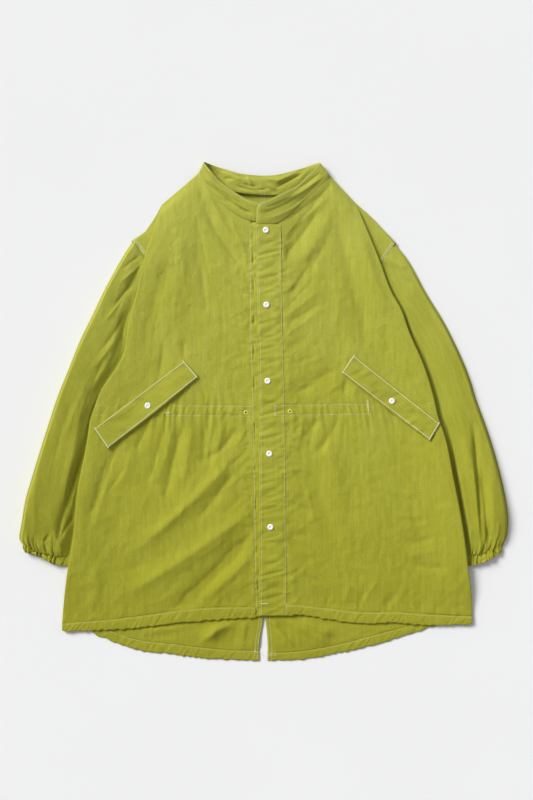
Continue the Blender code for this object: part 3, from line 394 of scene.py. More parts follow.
def pucker_marks(seed, path, count, length, slant, width, height, reach=0.0):
    """Short uneven ridges and dips across a seam that runs along `path`."""
    chance = np.random.default_rng(seed)
    path = along(path, 4 * count + 1)
    marks = []
    for _ in range(count):
        k = int(chance.integers(0, len(path) - 1))
        run = path[k + 1, :2] - path[k, :2]
        turn = math.atan2(run[1], run[0]) + math.radians(slant + chance.normal(0.0, 14.0))
        size = length * chance.uniform(0.45, 1.5)
        step = np.array([math.cos(turn), math.sin(turn)]) * size
        start = path[k, :2] + np.array([math.cos(turn), math.sin(turn)]) * reach
        bend = np.array([-step[1], step[0]]) * chance.uniform(-0.15, 0.15)
        middle, end = start + 0.5 * step + bend, start + step
        rise = height * chance.uniform(0.4, 1.4) * (1.0 if chance.random() < 0.55 else -1.0)
        marks.append(Fold(*start, *middle, *end, width * chance.uniform(0.7, 1.4), rise))
    return marks


print("curve and fold helpers ready")

# %% [markdown]
# ## From a grid to cloth
# A cloth piece is a grid of points: row by row along it and column by column across it. The grid
# becomes a thin wall with Solidify, half of it to each side, so that the grid is the middle of
# the cloth. The UV map is in metres. It is either the plan of the piece, where the cloth lies as
# it was cut, or the distance walked over the cloth, on tubes and bands.

# %% Cloth piece helper
WALL = 0.8                 # thickness of one layer in the picture
DOUBLE_WALL = 1.3          # two layers sewn together
made = {}


def cloth_piece(name, grid, nodes, ring=False, walked=False, wall=WALL, weld=False,
                material=cloth_shell):
    """A wall of cloth through a grid of points in millimetres, with its UV map."""
    grid = np.asarray(grid, float)
    rows, columns, _ = grid.shape
    number = np.arange(rows * columns).reshape(rows, columns)
    chart = np.concatenate([grid, grid[:, :1]], 1) if ring else grid
    if ring:
        number = np.concatenate([number, number[:, :1]], 1)
    if walked:
        steps = np.linalg.norm(np.diff(chart, axis=1), axis=2)
        u = np.concatenate([np.zeros((rows, 1)), np.cumsum(steps, axis=1)], 1)
        u = u - u[:, -1:] / 2
        steps = np.linalg.norm(np.diff(chart, axis=0), axis=2).mean(axis=1)
        v = np.concatenate([[0.0], np.cumsum(steps)])[:, None] + np.zeros_like(u)
        uv = np.stack([u, v], 2) * MM
    else:
        uv = chart[:, :, :2] * MM
    near, far = slice(None, -1), slice(1, None)
    corners = (near, near), (far, near), (far, far), (near, far)
    faces = np.stack([number[c] for c in corners], -1).reshape(-1, 4)
    loops = np.stack([uv[c] for c in corners], 2).reshape(-1)
    mesh = bpy.data.meshes.new(name)
    mesh.from_pydata((grid.reshape(-1, 3) * MM).tolist(), [], faces.tolist())
    mesh.uv_layers.new(name="cloth").data.foreach_set("uv", loops)
    if weld:
        work = bmesh.new()
        work.from_mesh(mesh)
        bmesh.ops.remove_doubles(work, verts=work.verts, dist=0.000004)
        work.to_mesh(mesh)
        work.free()
    mesh.update()
    mesh.shade_smooth()
    mesh.materials.append(material)
    piece = placed(name, mesh)
    shell = piece.modifiers.new("wall", "SOLIDIFY")
    shell.thickness = wall * MM
    shell.offset = 0.0
    piece["cut_area"] = sum(face.area for face in mesh.polygons)
    made[name] = (piece, nodes)
    print(f"{name}: {len(mesh.polygons)} faces, {piece['cut_area']:.3f} square metres of cloth")


def tucked(grid, back, down):
    """The grid with its first row carried on, `back` further and `down` lower, to lie beneath."""
    grid = np.asarray(grid, float)
    away = grid[0] - grid[2]
    away[:, 2] = 0.0
    away = away / np.maximum(np.linalg.norm(away, axis=1), 1e-6)[:, None]
    edge = grid[0] + away * np.reshape(back, (-1, 1))
    edge[:, 2] -= down
    return np.concatenate([edge[None], grid], 0)


def top_of(pieces):
    """Function that gives the height, in millimetres, of the pieces' top face at (x, y)."""
    bpy.context.view_layer.update()
    graph = bpy.context.evaluated_depsgraph_get()
    trees = [BVHTree.FromObject(piece, graph) for piece in pieces]

    def height(x, y):
        start = Vector((x * MM, y * MM, 0.2))
        hits = [tree.ray_cast(start, Vector((0.0, 0.0, -1.0)))[0] for tree in trees]
        hits = [hit.z / MM for hit in hits if hit is not None]
        return max(hits) if hits else None

    return height

# %% [markdown]
# ## Outlines of the body
# `SIDE_FOLD` says where each front turns under at the side, how high the fold stands, and how
# high the cloth beneath it lies over the sleeve. `FRONT_EDGE` holds the two lines of the placket,
# and `FRONT_HEM` the front hem's stitch line and edge. `COLLAR` has a row for each station round
# the neck: the band's top edge, then its seam. Each kind of row names its columns.

# %% Tables of the body
Side = namedtuple("Side", "x y tuck top under")
SIDE_FOLD = {
    "left": table(Side, """
        -178 363 0 2.2 1.9, -183 347 5 6.4 4.2, -188 330 9 8.4 5.2, -197 302 16 10.4 5.9,
        -206 275 26 11.4 6.1, -215 239 38 12.2 6.3, -220 212 50 12.4 6.4, -234 163 54 12.6 6.4,
        -251 86 54 12.6 6.4, -269 60 54 12.6 6.4, -282 40 54 12.6 6.4, -293 13 54 12.6 6.4,
        -299 -3 54 12.6 6.4, -309 -59 54 12.8 6.4, -323 -129 54 13.2 6.4, -332 -215 54 13.2 6.4,
        -341 -270 54 12 6.2, -348 -323 52 7.5 2.2, -352 -369 46 5.4 1.4"""),
    "right": table(Side, """
        161 366 0 2.2 1.9, 167 351 5 7.2 4.2, 173 336 9 10 5.2, 188 300 16 12 5.9,
        204 260 28 12.8 6.2, 212 237 38 13.2 6.3, 222 212 50 13.2 6.4, 240 179 54 13.2 6.4,
        254 140 54 13.2 6.4, 279 83 54 13.2 6.4, 296 29 54 13.2 6.4, 306 -13 54 13.2 6.4,
        313 -32 54 13.4 6.4, 331 -115 54 13.6 6.4, 345 -187 54 13.8 6.4, 353 -241 54 13.4 6.4,
        356 -268 54 12.2 6.2, 363 -322 52 7.5 2.2, 364 -356 48 5.4 1.4"""),
}

SHOULDER_EDGE = {
    "left": [(-178, 363), (-189, 342), (-206, 317), (-228, 299), (-207, 274), (-190, 246)],
    "right": [(161, 366), (180, 349.5), (197, 333), (229, 295), (205, 261), (190, 239)],
}

Edge = namedtuple("Edge", "y left_seam lap right_seam")
FRONT_EDGE = table(Edge, """
    332 -24 -13 30, 249 -23.5 -12 31, 158 -23 -10.5 32.5, 16 -19.5 -8.5 36, -150 -16.5 -8 38,
    -336 -13.5 -8 40""")

Hem = namedtuple("Hem", "x stitch edge")
FRONT_HEM = {
    "left": table(Hem, """
        -13.6 -340 -359, -49 -340.5 -360.5, -85 -341 -363, -167 -349 -370, -215 -356 -376,
        -274 -363 -380, -314 -366 -381.5, -352 -369 -382.5"""),
    "right": table(Hem, """
        40 -336 -355, 65 -338 -354, 106 -342 -360.5, 169 -349 -369, 233 -349.5 -367.5,
        286 -353 -372, 330 -355 -371, 364 -356.5 -370"""),
}

Band = namedtuple("Band", "top_x top_y top_z seam_x seam_y seam_z")
COLLAR = table(Band, """
    6 361 13.4 4 334 9.4, -8 365 14 -12 333 9.6, -30 372 15 -32 337 10, -50 384 16.4 -57 352 10.6,
    -73 400 17.6 -80 371 11.2, -90 418 17.6 -98 391 11, -101 431 15 -109 414 8.6,
    -103 435.5 10.5 -112 420 6.2, -96 434 5 -106 417 4, -68 425 2.2 -85 396 2,
    -40 417 1.6 -45 384 2, -6 413.5 1.4 -6 380 2, 24 415 1.6 32 381 2, 62 424.5 2.2 72 393 2,
    91 434 5 104 417 4, 98 435.5 10.5 113 417 6.2, 95 431 15.5 112 409 8.8,
    79 415 18.4 94 393 11.4, 57 394 18.8 70 369 12, 32 381 18.2 46 345 12.2, 9 369 17.6 26 331 12,
    -8 362 16.6 2 329 11.8, -12.5 352 15.6 -12.5 330 11.6""")

SNAPS = [(4, 318), (5, 188), (7, 55), (10, -72), (12, -200)]
FLAP_SNAPS = {"left": (-202, 12), "right": (224, 20)}
EYELETS = {"left": (-31, 0), "right": (46, 2)}

WAIST_LINE = {"left": (2.0, 4.0), "right": (3.0, 8.0)}
WAIST_HALF = 8.5
UNDERARM_ROW = 6
BODY_HEIGHT, LAP_HEIGHT, HEM_HEIGHT = 7.0, 7.0, 4.6
LAP_STEP = 1.9
LYING = 0.55
SHOULDER_HEIGHT, ARMHOLE_HEIGHT = 1.95, 4.2
print("body tables:", len(COLLAR), "collar stations")

# %% [markdown]
# ## Where the folds run
# These are the main folds of the two fronts, each with the three points that it runs through, the
# half width of its slope and its height. A trough is negative. They are placed one by one,
# because a draped garment has no rule for them: long slanting folds where the cloth hangs
# from the neck, short drapes under the gathered waist, and the deep diagonals of the left hem.

# %% Tables of the folds
FRONT_FOLDS = {
    "left": table(Fold, """
        -108 372 -84 306 -30 247 9 -4.5, -95 362 -62 312 -28 286 9 2.4,
        -117 300 -108 232 -94 160 11 -2.4, -164 272 -195 190 -206 96 15 -3.3,
        -135 330 -150 240 -160 130 20 2.7, -71 235 -40 212 -24 190 7 -1.8,
        -139 130 -140 110 -141 88 6 -2.1, -173 130 -178 95 -182 60 7 -2.1,
        -252 -40 -281 -118 -308 -200 10 -3.6, -201 -15 -210 -42 -224 -70 8 -3,
        -228 -62 -238 -100 -248 -128 12 2.4, -139 -12 -160 -90 -174 -160 9 -3.9,
        -122 -15 -133 -70 -140 -130 9 2.7, -104 -12 -102 -55 -108 -98 8 -3,
        -50 -22 -58 -62 -104 -84 8 -3.3, -44 -68 -112 -155 -236 -248 13 5.1,
        -48 -100 -84 -150 -118 -190 9 -2.7, -16 -165 -110 -246 -250 -322 15 5.4,
        -18 -208 -84 -286 -160 -350 12 -7.5, -16 -246 -60 -290 -104 -328 10 3.3,
        -290 -250 -292 -310 -298 -350 12 1.8"""),
    "right": table(Fold, """
        101 360 66 312 33 264 9 -4.2, 118 350 96 300 62 256 12 2.7, 97 288 68 236 38 194 9 -3,
        126 362 148 245 188 104 14 -3, 160 330 190 240 216 160 16 2.7,
        211 158 216 128 219 98 8 -1.8, 99 188 68 172 36 150 6 -1.8, 132 76 90 54 55 33 9 -3.3,
        146 62 143 44 141 30 6 -2.4, 128 -6 118 -52 88 -72 8 -3.3, 100 -10 82 -26 72 -48 7 -2.7,
        110 -40 128 -110 138 -180 14 2.1, 85 -74 92 -150 132 -240 16 -2.4,
        249 -224 274 -231 297 -216 6 -1.8, 252 -260 290 -277 321 -268 7 -2.1,
        41 -156 66 -163 92 -177 6 -1.8, 44 -212 62 -216 82 -213 6 -1.5,
        176 -312 170 -330 164 -346 7 -2.1, 232 -315 220 -328 208 -344 7 -2.1"""),
}

FINE_FOLDS = {
    "left": table(Fold, """
        -114 390 -101 369 -77 330 5 -3, -91 369 -70 353 -56 326 5 -3, -62 359 -42 346 -23 330 4 -3,
        -104 392 -88 368 -66 334 5 2, -60 345 -44 330 -22 312 4 1.5,
        -50 330 -36 312 -22 296 4 -1.5, -64 352 -40 300 -26 262 5 1.3,
        -84 366 -66 330 -44 300 5 -1.2, -120 350 -104 280 -92 222 7 -1.3,
        -148 318 -140 250 -134 190 7 1.2, -100 250 -96 200 -96 150 6 1.1,
        -72 180 -70 140 -74 96 6 -1, -56 130 -48 112 -26 100 5 1.1, -96 96 -76 76 -46 70 5 -1,
        -84 60 -78 40 -74 14 5 1.3, -110 56 -104 36 -102 14 5 -1.3, -58 48 -52 34 -50 14 5 -1.1,
        -160 60 -156 38 -156 12 5 1.2, -186 40 -184 26 -186 10 5 -1, -128 52 -126 36 -128 14 4 1,
        -72 -16 -74 -48 -86 -86 7 2.2, -86 -16 -90 -66 -100 -118 6 -2.2,
        -156 -16 -166 -60 -180 -110 7 2.3, -172 -16 -186 -76 -204 -134 7 -2.2,
        -120 -104 -132 -150 -150 -190 7 1.2, -188 -92 -200 -140 -216 -180 8 1.1,
        -30 -24 -36 -44 -50 -58 5 1.6, -26 -60 -44 -84 -66 -98 6 -1.9,
        -24 -92 -44 -118 -74 -138 6 1.4, -22 -128 -44 -156 -78 -182 7 -1.3,
        -60 -214 -104 -252 -160 -282 8 1.4, -24 -276 -50 -306 -84 -330 7 1.2,
        -150 -236 -196 -262 -250 -280 9 -1.1, -120 -300 -170 -326 -230 -344 8 1,
        -262 -90 -280 -150 -300 -214 6 1, -232 -150 -262 -214 -296 -262 8 -0.9,
        -276 -268 -300 -296 -326 -310 8 1, -196 -206 -240 -232 -290 -244 8 1,
        -270 6 -276 -14 -284 -34 5 1.2, -244 -96 -258 -122 -276 -144 5 -1.4"""),
    "right": table(Fold, """
        109 386 67 353 32 330 6 -2.8, 76 342 55 318 42 296 5 -1.9, 123 404 94 373 74 342 5 -2.2,
        112 376 84 350 58 322 6 1.9, 64 336 48 322 36 306 4 1.3, 92 352 70 320 48 290 5 1.4,
        80 356 58 326 36 302 4 -1.2, 124 338 104 286 78 236 7 -1.5, 82 268 60 232 36 206 6 1.5,
        92 240 66 206 36 178 6 -1.6, 96 214 70 190 38 166 5 1.4, 84 166 62 150 36 136 5 1.4,
        80 138 60 122 38 112 5 -1.2, 140 250 132 190 124 130 8 1.4, 176 210 176 150 172 100 8 -1.4,
        150 120 146 92 140 72 5 1.3, 120 66 92 50 56 46 5 1.9, 140 56 118 36 92 24 5 1.6,
        104 34 98 26 92 14 4 -1.3, 160 44 156 28 154 14 4 1.2, 62 30 58 22 56 14 4 1.1,
        78 96 60 86 40 84 5 -1.1, 110 100 86 88 62 80 6 1.1, 70 -12 66 -34 62 -56 5 1.9,
        90 -14 84 -42 78 -70 5 -1.8, 122 -12 118 -38 110 -66 6 1.8, 140 -12 140 -40 138 -66 5 -1.2,
        170 -60 190 -130 196 -200 14 1.5, 240 -120 262 -180 282 -230 12 -1.6,
        206 -130 232 -146 262 -140 6 1.1, 226 -176 256 -186 290 -176 5 1.2,
        232 -204 262 -206 296 -190 5 1.3, 246 -246 280 -252 312 -236 6 1.4,
        60 -100 84 -150 92 -214 9 1.2, 42 -96 60 -104 84 -100 5 1.3, 44 -132 62 -142 88 -146 5 1.4,
        44 -184 64 -192 92 -190 5 1.2, 46 -240 70 -250 104 -246 6 1.2,
        48 -276 72 -290 110 -296 6 -1.3, 130 -262 152 -276 184 -272 7 1.2,
        196 -296 184 -318 170 -338 6 1.8, 152 -300 146 -318 140 -334 5 1.3,
        250 -300 240 -320 230 -336 6 1.5, 300 -300 300 -320 296 -340 7 1.1,
        118 -312 112 -326 108 -338 5 -1.2"""),
}
print("folds:", {side: len(FRONT_FOLDS[side]) + len(FINE_FOLDS[side]) for side in SIGN})

# %% [markdown]
# ## The fronts
# Each front is one grid. A row starts at the front edge, crosses the chest, rolls round the side
# fold, and comes back in beneath over the sleeve. Above the underarm the cloth beneath turns out
# again as the dropped shoulder that shows beside the fold. Below it, it goes down to the side
# seam. Heights are made in layers: the soft rise to each edge, the hand-placed folds, the waist's
# gathers, short puckers along the seams, and a faint rumple over all of it.

# %% Front shapes
COLLAR_FALL, SHOULDER_FALL, SIDE_RISE, HEM_FALL, TURNED_IN = 26.0, 10.0, 84.0, 60.0, 60.0
SIDE_LIFT = {"left": 1.5, "right": 4.0}     # fuller side folds below the waist
FOLD_CRISP = {"left": 0.22, "right": 0.4}   # lower is a sharper crest
FOLD_DEPTH, FINE_DEPTH = 1.1, 0.85
WAIST_GATHERS = 22
BELOW_WAIST_GATHERS = 11


def column_at(at, rows, station, column, way=1):
    """A column of a table at `at`: the rows are stations along another of its columns."""
    rows = sorted(rows, key=lambda row: way * getattr(row, station))
    stations = [way * getattr(row, station) for row in rows]
    return smooth_through(way * np.asarray(at, float), stations,
                          [getattr(row, column) for row in rows])


def front_edge_x(y, column):
    return column_at(y, FRONT_EDGE, "y", column)


def hem_curve(rows, column, x):
    return column_at(x, rows, "x", column)


def side_at(side, y, column):
    return column_at(y, SIDE_FOLD[side], "y", column, way=-1)


def fold_radius(side, y):
    return np.maximum((side_at(side, y, "top") - side_at(side, y, "under")) / 2, 0.05)


def seam_x(side, y):
    return side_at(side, y, "x") - SIGN[side] * (fold_radius(side, y) + side_at(side, y, "tuck"))


def collar_lines(at):
    """The band's top edge and its seam, (x, y, z) of each, at stations of COLLAR."""
    stations = np.arange(len(COLLAR), dtype=float)
    return np.stack([smooth_through(at, stations, column) for column in zip(*COLLAR)], 1)


def front_top(side, count):
    """The front's top boundary: the neck seam, then the shoulder out to the side fold."""
    ends = (2, 7) if side == "left" else (20, 15)
    band = collar_lines(np.linspace(*ends, 60))
    away = (band[:, 3:] - band[:, :3])[:, :2]
    away = away / np.linalg.norm(away, axis=1)[:, None]
    seam = np.column_stack([band[:, 3:5] + 0.35 * away, band[:, 5] - 0.2])
    neck_lift = 3.0 if side == "left" else 4.6
    start = (getattr(FRONT_EDGE[0], side + "_seam"), seam[0][1] - 1.0, LAP_HEIGHT + neck_lift)
    fold, corner = SIDE_FOLD[side][0], seam[-1]
    shoulder = [(mix(corner[0], fold.x, k), mix(corner[1] - 2.0, fold.y, k) + bulge, height)
                for k, bulge, height in ((0.35, 1.0, 3.2), (0.7, 0.5, SHOULDER_HEIGHT + 0.3))]
    return along([start, *seam[1:], *shoulder, (fold.x, fold.y, SHOULDER_HEIGHT)], count)


def waist_relief(side, x, y, s):
    """Gathers of the waist channel and the shorter drapes above and below it."""
    middle, end = WAIST_LINE[side]
    off = y - mix(middle, end, s)
    wander = 0.35 * np.sin(9.0 * s + 1.3) + 0.25 * np.sin(23.0 * s)
    uneven = 0.75 + 0.5 * Rumple(31)(s * 19.0, np.zeros_like(s))
    phase = 2 * math.pi * (WAIST_GATHERS * s + wander)
    gathers = (1.0 - np.abs(np.sin(phase / 2)) * 1.4) * uneven
    slanted = np.sin(phase * 1.7 + off / 3.2) * 0.35
    inside = hump(off, 0.0, 1.05 * WAIST_HALF, 4) * (1.0 - 0.65 * ease((s - 0.55) / 0.3))
    drapes = np.sin(2 * math.pi * (BELOW_WAIST_GATHERS * s + wander))
    small = (1.0 - np.abs(np.sin(phase / 2)) * 1.5) * uneven
    if side == "right":
        drapes, small = 0.5 * drapes, 0.7 * small
    fade = 1.0 - 0.7 * ease((s - 0.6) / 0.3)
    below = ease(-off / 10.0) * hump(off, -14.0, 26.0) * fade
    above = ease(off / 10.0) * hump(off, 12.0, 16.0) * fade
    rows = 0.75 * (hump(off, WAIST_HALF, 1.6) + hump(off, -WAIST_HALF, 1.6))
    return ((gathers + slanted) * 1.15 * inside + drapes * (0.8 * below + 0.4 * above)
            + small * (0.9 * below + 0.6 * above) - rows * (1.0 - 0.5 * ease((s - 0.7) / 0.2)))


def seam_puckers(side):
    """Short ridges along the placket, the hem and the armhole side of a front."""
    sign = SIGN[side]
    ys = np.linspace(320, -330, 40)
    placket_line = np.stack([front_edge_x(ys, side + "_seam") + sign * 2.0, ys], 1)
    hem_x = np.linspace(FRONT_HEM[side][0].x, FRONT_HEM[side][-1].x, 40)
    hem_line = np.stack([hem_x, hem_curve(FRONT_HEM[side], "stitch", hem_x) + 3.0], 1)
    slant, seed = sign * 90.0, int(side == "left")
    marks = pucker_marks(11 + seed, placket_line, 70, 22.0, slant - 12.0, 2.8, 0.55)
    marks += pucker_marks(15 + seed, placket_line, 24, 40.0, slant + 30.0, 4.2, 0.65)
    return marks + pucker_marks(21 + seed, hem_line, 60, 15.0, slant + sign * 24.0, 2.6, 0.5)


def seam_ripples(y, off_line):
    """Short puckers that cross a placket seam, the same on both sides of it."""
    fine = Rumple(81)((y - 0.5 * off_line) / 3.3, off_line / 15.0)
    wide = Rumple(83)((y - 0.7 * off_line) / 9.0, off_line / 30.0)
    return fine * np.exp(-off_line / 8.0) + 0.6 * wide * np.exp(-off_line / 12.0)


def front_height(side, x, y, s, fold_y, top, hem_y):
    """Height of a front's upper layer, from its edges inwards and then fold by fold."""
    lap = LAP_STEP if side == "right" else 0.0
    below_top = np.hypot(x - top[0], y - top[1])
    fall = mix(COLLAR_FALL, SHOULDER_FALL, ease((s - 0.5) / 0.2))
    to_top = np.exp(-(below_top / fall)**1.5)
    to_hem = ease(1.0 - (y - hem_y) / HEM_FALL)
    fold_x = side_at(side, y, "x")
    to_side = ease(1.0 - np.abs(fold_x - x) / SIDE_RISE)
    from_edge = SIGN[side] * (x - front_edge_x(y, side + "_seam"))
    to_edge = ease(1.0 - from_edge / 40.0)
    z = mix(np.full_like(x, BODY_HEIGHT), LAP_HEIGHT + lap, to_edge)
    side_lift = SIDE_LIFT[side] * ease(-(fold_y + 20.0) / 90.0)
    z = mix(z, side_at(side, fold_y, "top") + side_lift, to_side)
    z = mix(z, HEM_HEIGHT + lap * to_edge + 0.8 * to_side, to_hem)
    main = fold_relief(x, y, FRONT_FOLDS[side], crisp=FOLD_CRISP[side]) * FOLD_DEPTH
    fine = fold_relief(x, y, FINE_FOLDS[side], 6, 0.12) * FINE_DEPTH
    puckers = fold_relief(x, y, seam_puckers(side), 3)
    off_seam = ease((from_edge - 1.2) / 6.0)
    off_hem = 0.2 + 0.8 * ease((y - hem_y) / 6.0)
    puckers = puckers * off_seam * off_hem + seam_ripples(y, np.abs(from_edge))
    near_side = np.abs(fold_x - x)
    off_eyelet = np.hypot(x - EYELETS[side][0], y - EYELETS[side][1])
    calm = ease(near_side / 20.0) * ease((y - hem_y) / 9.0) * ease((from_edge - 1.2) / 11.0)
    slow = Rumple(3)(x / 46.0 + y / 260.0, y / 95.0)
    streaks = Rumple(5)((x + 0.10 * y) / 15.0, y / 120.0) * 0.35
    crinkle = Rumple(7)((x + 0.4 * y) / 8.5, (y - 0.3 * x) / 10.0) * 0.5
    crinkle = crinkle + Rumple(9)((x - 0.2 * y) / 4.2, y / 5.6) * 0.24
    z = z + (main + fine + slow) * calm * ease(below_top / 7.0)
    waist = waist_relief(side, x, y, s) * off_seam * ease(off_eyelet / 7.0 - 0.3)
    z = z + (waist + puckers) * ease(below_top / 9.0)
    z = z + (streaks + crinkle) * ease(below_top / 9.0) * ease(near_side / 9.0) * off_seam * off_hem
    z = z - 1.5 * ease(1.0 - (from_edge - 0.1) / 0.8)
    z = mix(z, top[2], to_top)
    z = z + (0.3 * main + 0.8 * fine) * calm * ease(below_top / 7.0) * to_top
    floor = mix(SHOULDER_HEIGHT, side_at(side, fold_y, "under") + 1.4,
                ease((TURNED_IN - near_side) / 18.0)) * (1.0 - to_top)
    return np.where(z > floor + 1.0, z, floor + np.exp(np.minimum(z - floor - 1.0, 0.0)))


print("front shapes ready")

# %% [markdown]
# The grid is dense enough for a four-millimetre pucker: a row every 2.9 mm and a column every
# 2.2 mm. The two ends where the cloth comes to a point, at the shoulder and the underarm, are
# rows whose last points fall together, and they are welded before the wall gets its thickness.

# %% Fronts
ROW_STEP = 2.9
PRESSED = 0.25             # how much of a full roll the side fold keeps
UPPER_COLUMNS = 142


def front_grid(side):
    """Every point of a front, a row at each height of the side fold."""
    sign = SIGN[side]
    folds = SIDE_FOLD[side]
    fold_ys = [row.y for row in folds]
    heights = []
    for a, b in zip(fold_ys[:-1], fold_ys[1:]):
        heights += list(np.linspace(a, b, max(2, int((a - b) / ROW_STEP) + 1), endpoint=False))
    fold_y = np.array(heights + [fold_ys[-1]])[:, None]
    even = np.linspace(0.0, 1.0, UPPER_COLUMNS + 1)
    s = np.concatenate([np.linspace(0.0, even[3], 12, endpoint=False), even[3:]])[None, :]
    t = (fold_ys[0] - fold_y) / (fold_ys[0] - fold_ys[-1])
    top = front_top(side, UPPER_COLUMNS + 1)
    top = np.stack([np.interp(s[0], even, top[:, k]) for k in range(3)], 1)
    edge_y = mix(top[0, 1], FRONT_HEM[side][0].stitch, t)
    edge_x = front_edge_x(edge_y, side + "_seam") - sign * 1.5
    fold_x = side_at(side, fold_y, "x") - sign * PRESSED * fold_radius(side, fold_y)
    hem_x = mix(FRONT_HEM[side][0].x + sign * 0.1, folds[-1].x - sign, s)
    hem_y = hem_curve(FRONT_HEM[side], "stitch", hem_x) + 0.1
    flat_top = mix(top[0][:, None], top[-1][:, None], s)
    x = mix(edge_x, fold_x, s) + (1 - t) * (top[None, :, 0] - flat_top[0])
    x = x + t * (hem_x - mix(hem_x[:, :1], hem_x[:, -1:], s))
    y = mix(edge_y, fold_y, s) + (1 - t) * (top[None, :, 1] - flat_top[1])
    y = y + t * (hem_y - mix(hem_y[:, :1], hem_y[:, -1:], s))
    whole = np.zeros_like(x)
    z = front_height(side, x, y, s + whole, fold_y + whole,
                     [top[None, :, k] + whole for k in range(3)], hem_y + whole)
    x0, y0, z0 = x[:, -1:], y[:, -1:], z[:, -1:]
    low = np.minimum(side_at(side, fold_y, "under"), z0 - 1.4)
    radius, half = PRESSED * fold_radius(side, fold_y), (z0 - low) / 2
    turn = np.linspace(0.0, math.pi, 9)[None, 1:]
    arc = (x0 + sign * radius * np.sin(turn), y0 + 0 * turn, low + half + half * np.cos(turn))
    tuck = np.minimum(side_at(side, fold_y, "tuck"), 36.0)
    crease_x = x0 - sign * tuck
    inward = np.linspace(0.0, 1.0, 7)[None, 1:]
    under = (mix(x0, crease_x, inward), y0 + 0 * inward, low + 0 * inward)
    out = np.linspace(0.0, 1.0, 15)[None, :]
    number = np.interp(-fold_y, [-v for v in fold_ys[:UNDERARM_ROW + 1]],
                       np.arange(UNDERARM_ROW + 1))
    underarm = (float(crease_x[fold_y == fold_ys[UNDERARM_ROW]][0]), fold_ys[UNDERARM_ROW])
    edge = np.array([*SHOULDER_EDGE[side], underarm])
    out_x = np.interp(number, np.arange(len(edge)), edge[:, 0])
    out_y = np.interp(number, np.arange(len(edge)), edge[:, 1])
    start = np.clip(low - 1.6, SHOULDER_HEIGHT, ARMHOLE_HEIGHT)
    end = mix(SHOULDER_HEIGHT, ARMHOLE_HEIGHT, ease(number - 2.0))
    lower = (mix(crease_x, out_x, out), mix(y0, out_y, out), mix(start, end, ease(out)))
    spread = ease((fold_ys[UNDERARM_ROW] - fold_y) / 12.0)
    to_seam = seam_x(side, fold_y)
    seam = (mix(crease_x, mix(crease_x, to_seam, out), spread), y0 + 0 * out,
            mix(low, mix(low, LYING, ease(out)), spread))
    above = fold_y > fold_ys[UNDERARM_ROW] + 1e-6
    tail = [np.where(above, a, b) for a, b in zip(lower, seam)]
    tail[0][0], tail[1][0], tail[2][0] = x0[0], y0[0], z0[0]
    for part in (arc, under):
        for k, value in enumerate((x0, y0, z0)):
            part[k][0] = value[0]
    grid = np.stack([np.concatenate([flat, a, b, c], 1)
                     for flat, a, b, c in zip((x, y, z), arc, under, tail)], 2)
    over_sleeve = np.where(above & (fold_y < fold_ys[2]), 3.2, 0.0)
    to_edge = grid[:, -1] - grid[:, -3]
    to_edge = to_edge / np.maximum(np.linalg.norm(to_edge, axis=1), 1e-6)[:, None]
    grid[:, -1, :2] += to_edge[:, :2] * over_sleeve * ease(number - 2.0)
    beneath_collar = 2.4 * (1.0 - ease((s[0] - 0.54) / 0.05))
    beneath_collar = np.concatenate([beneath_collar, np.zeros(grid.shape[1] - len(s[0]))])
    return tucked(grid, beneath_collar, 0.55 * beneath_collar)


for side in SIGN:
    cloth_piece("shell_front_" + side, front_grid(side), ["front_" + side], weld=True)

# %% [markdown]
# ## The backs
# The back is in two halves, sewn at the centre and open below as the fishtail's slit. It lies
# flat, so only two places show: a strip inside the neck, and the tail below the front hem, which
# gets a few soft folds of its own.

# %% Backs
Back = namedtuple("Back", "inner_x inner_y outer_x outer_y")
BACK_ROWS = {
    "left": table(Back, """
        -110 419 -110 419, -98 407 -123 406, -85 394 -152 383, -45 382 -177 362,
        -1.65 378 -206 316, -1.65 330 -227 298, -1.65 300 -206.5 272, -1.65 262 -189.5 244"""),
    "right": table(Back, """
        108 418 108 418, 98 404 118 406, 72 391 134 392, 32 379 161 366, -1.35 378 197 332,
        -1.35 330 227.5 294, -1.35 300 204.5 259, -1.35 262 189.5 237"""),
}
BACK_MIDDLE = {"left": 1.35, "right": 1.65}      # the centre-back seam's two edges
BACK_END = -345.0      # where the fishtail's slit begins
BACK_COLUMNS, BODY_ROWS, TAIL_ROWS = 121, 40, 34
FISHTAIL = {
    "left": table(Hem, """
        -8 -417 -434.5, -66 -415 -432, -117 -410 -429, -156 -405 -423, -225 -396 -414,
        -262 -384 -401, -299 -370 -386"""),
    "right": table(Hem, """
        7 -421 -434, 71 -416.5 -431.5, 125 -407 -422, 191 -390 -407, 256 -373 -387, 290 -364 -376,
        311 -358 -369"""),
}
SLIT = {
    "left": [(1.35, -345), (0, -359), (-3, -380), (-6, -395), (-7, -405), (-8, -417)],
    "right": [(1.65, -345), (3, -359), (4.5, -374), (7, -401), (7.3, -410), (7, -421)],
}
TAIL_FOLDS = table(Fold, """
    -245 -372 -205 -384 -120 -372 9 2.4, -60 -352 -82 -372 -96 -398 9 2.2,
    -30 -352 -36 -385 -40 -412 8 1.4, 34 -352 62 -384 118 -402 10 2.2,
    110 -352 150 -368 210 -372 9 2.4, -45 -360 -80 -379 -112 -404 10 3,
    17 -362 25 -384 50 -407 5 1.6, 64 -352 85 -377 125 -391 10 2.8""")


def puckers(share, count, depth, turn):
    """Uneven small waves along a channel."""
    wander = 0.5 * np.sin(7.0 * share + turn) + 0.3 * np.sin(17.0 * share + 2 * turn)
    strength = 0.65 + 0.35 * np.sin(11.0 * share + 3 * turn)
    return depth * strength * np.sin(2 * math.pi * (count * share + wander))


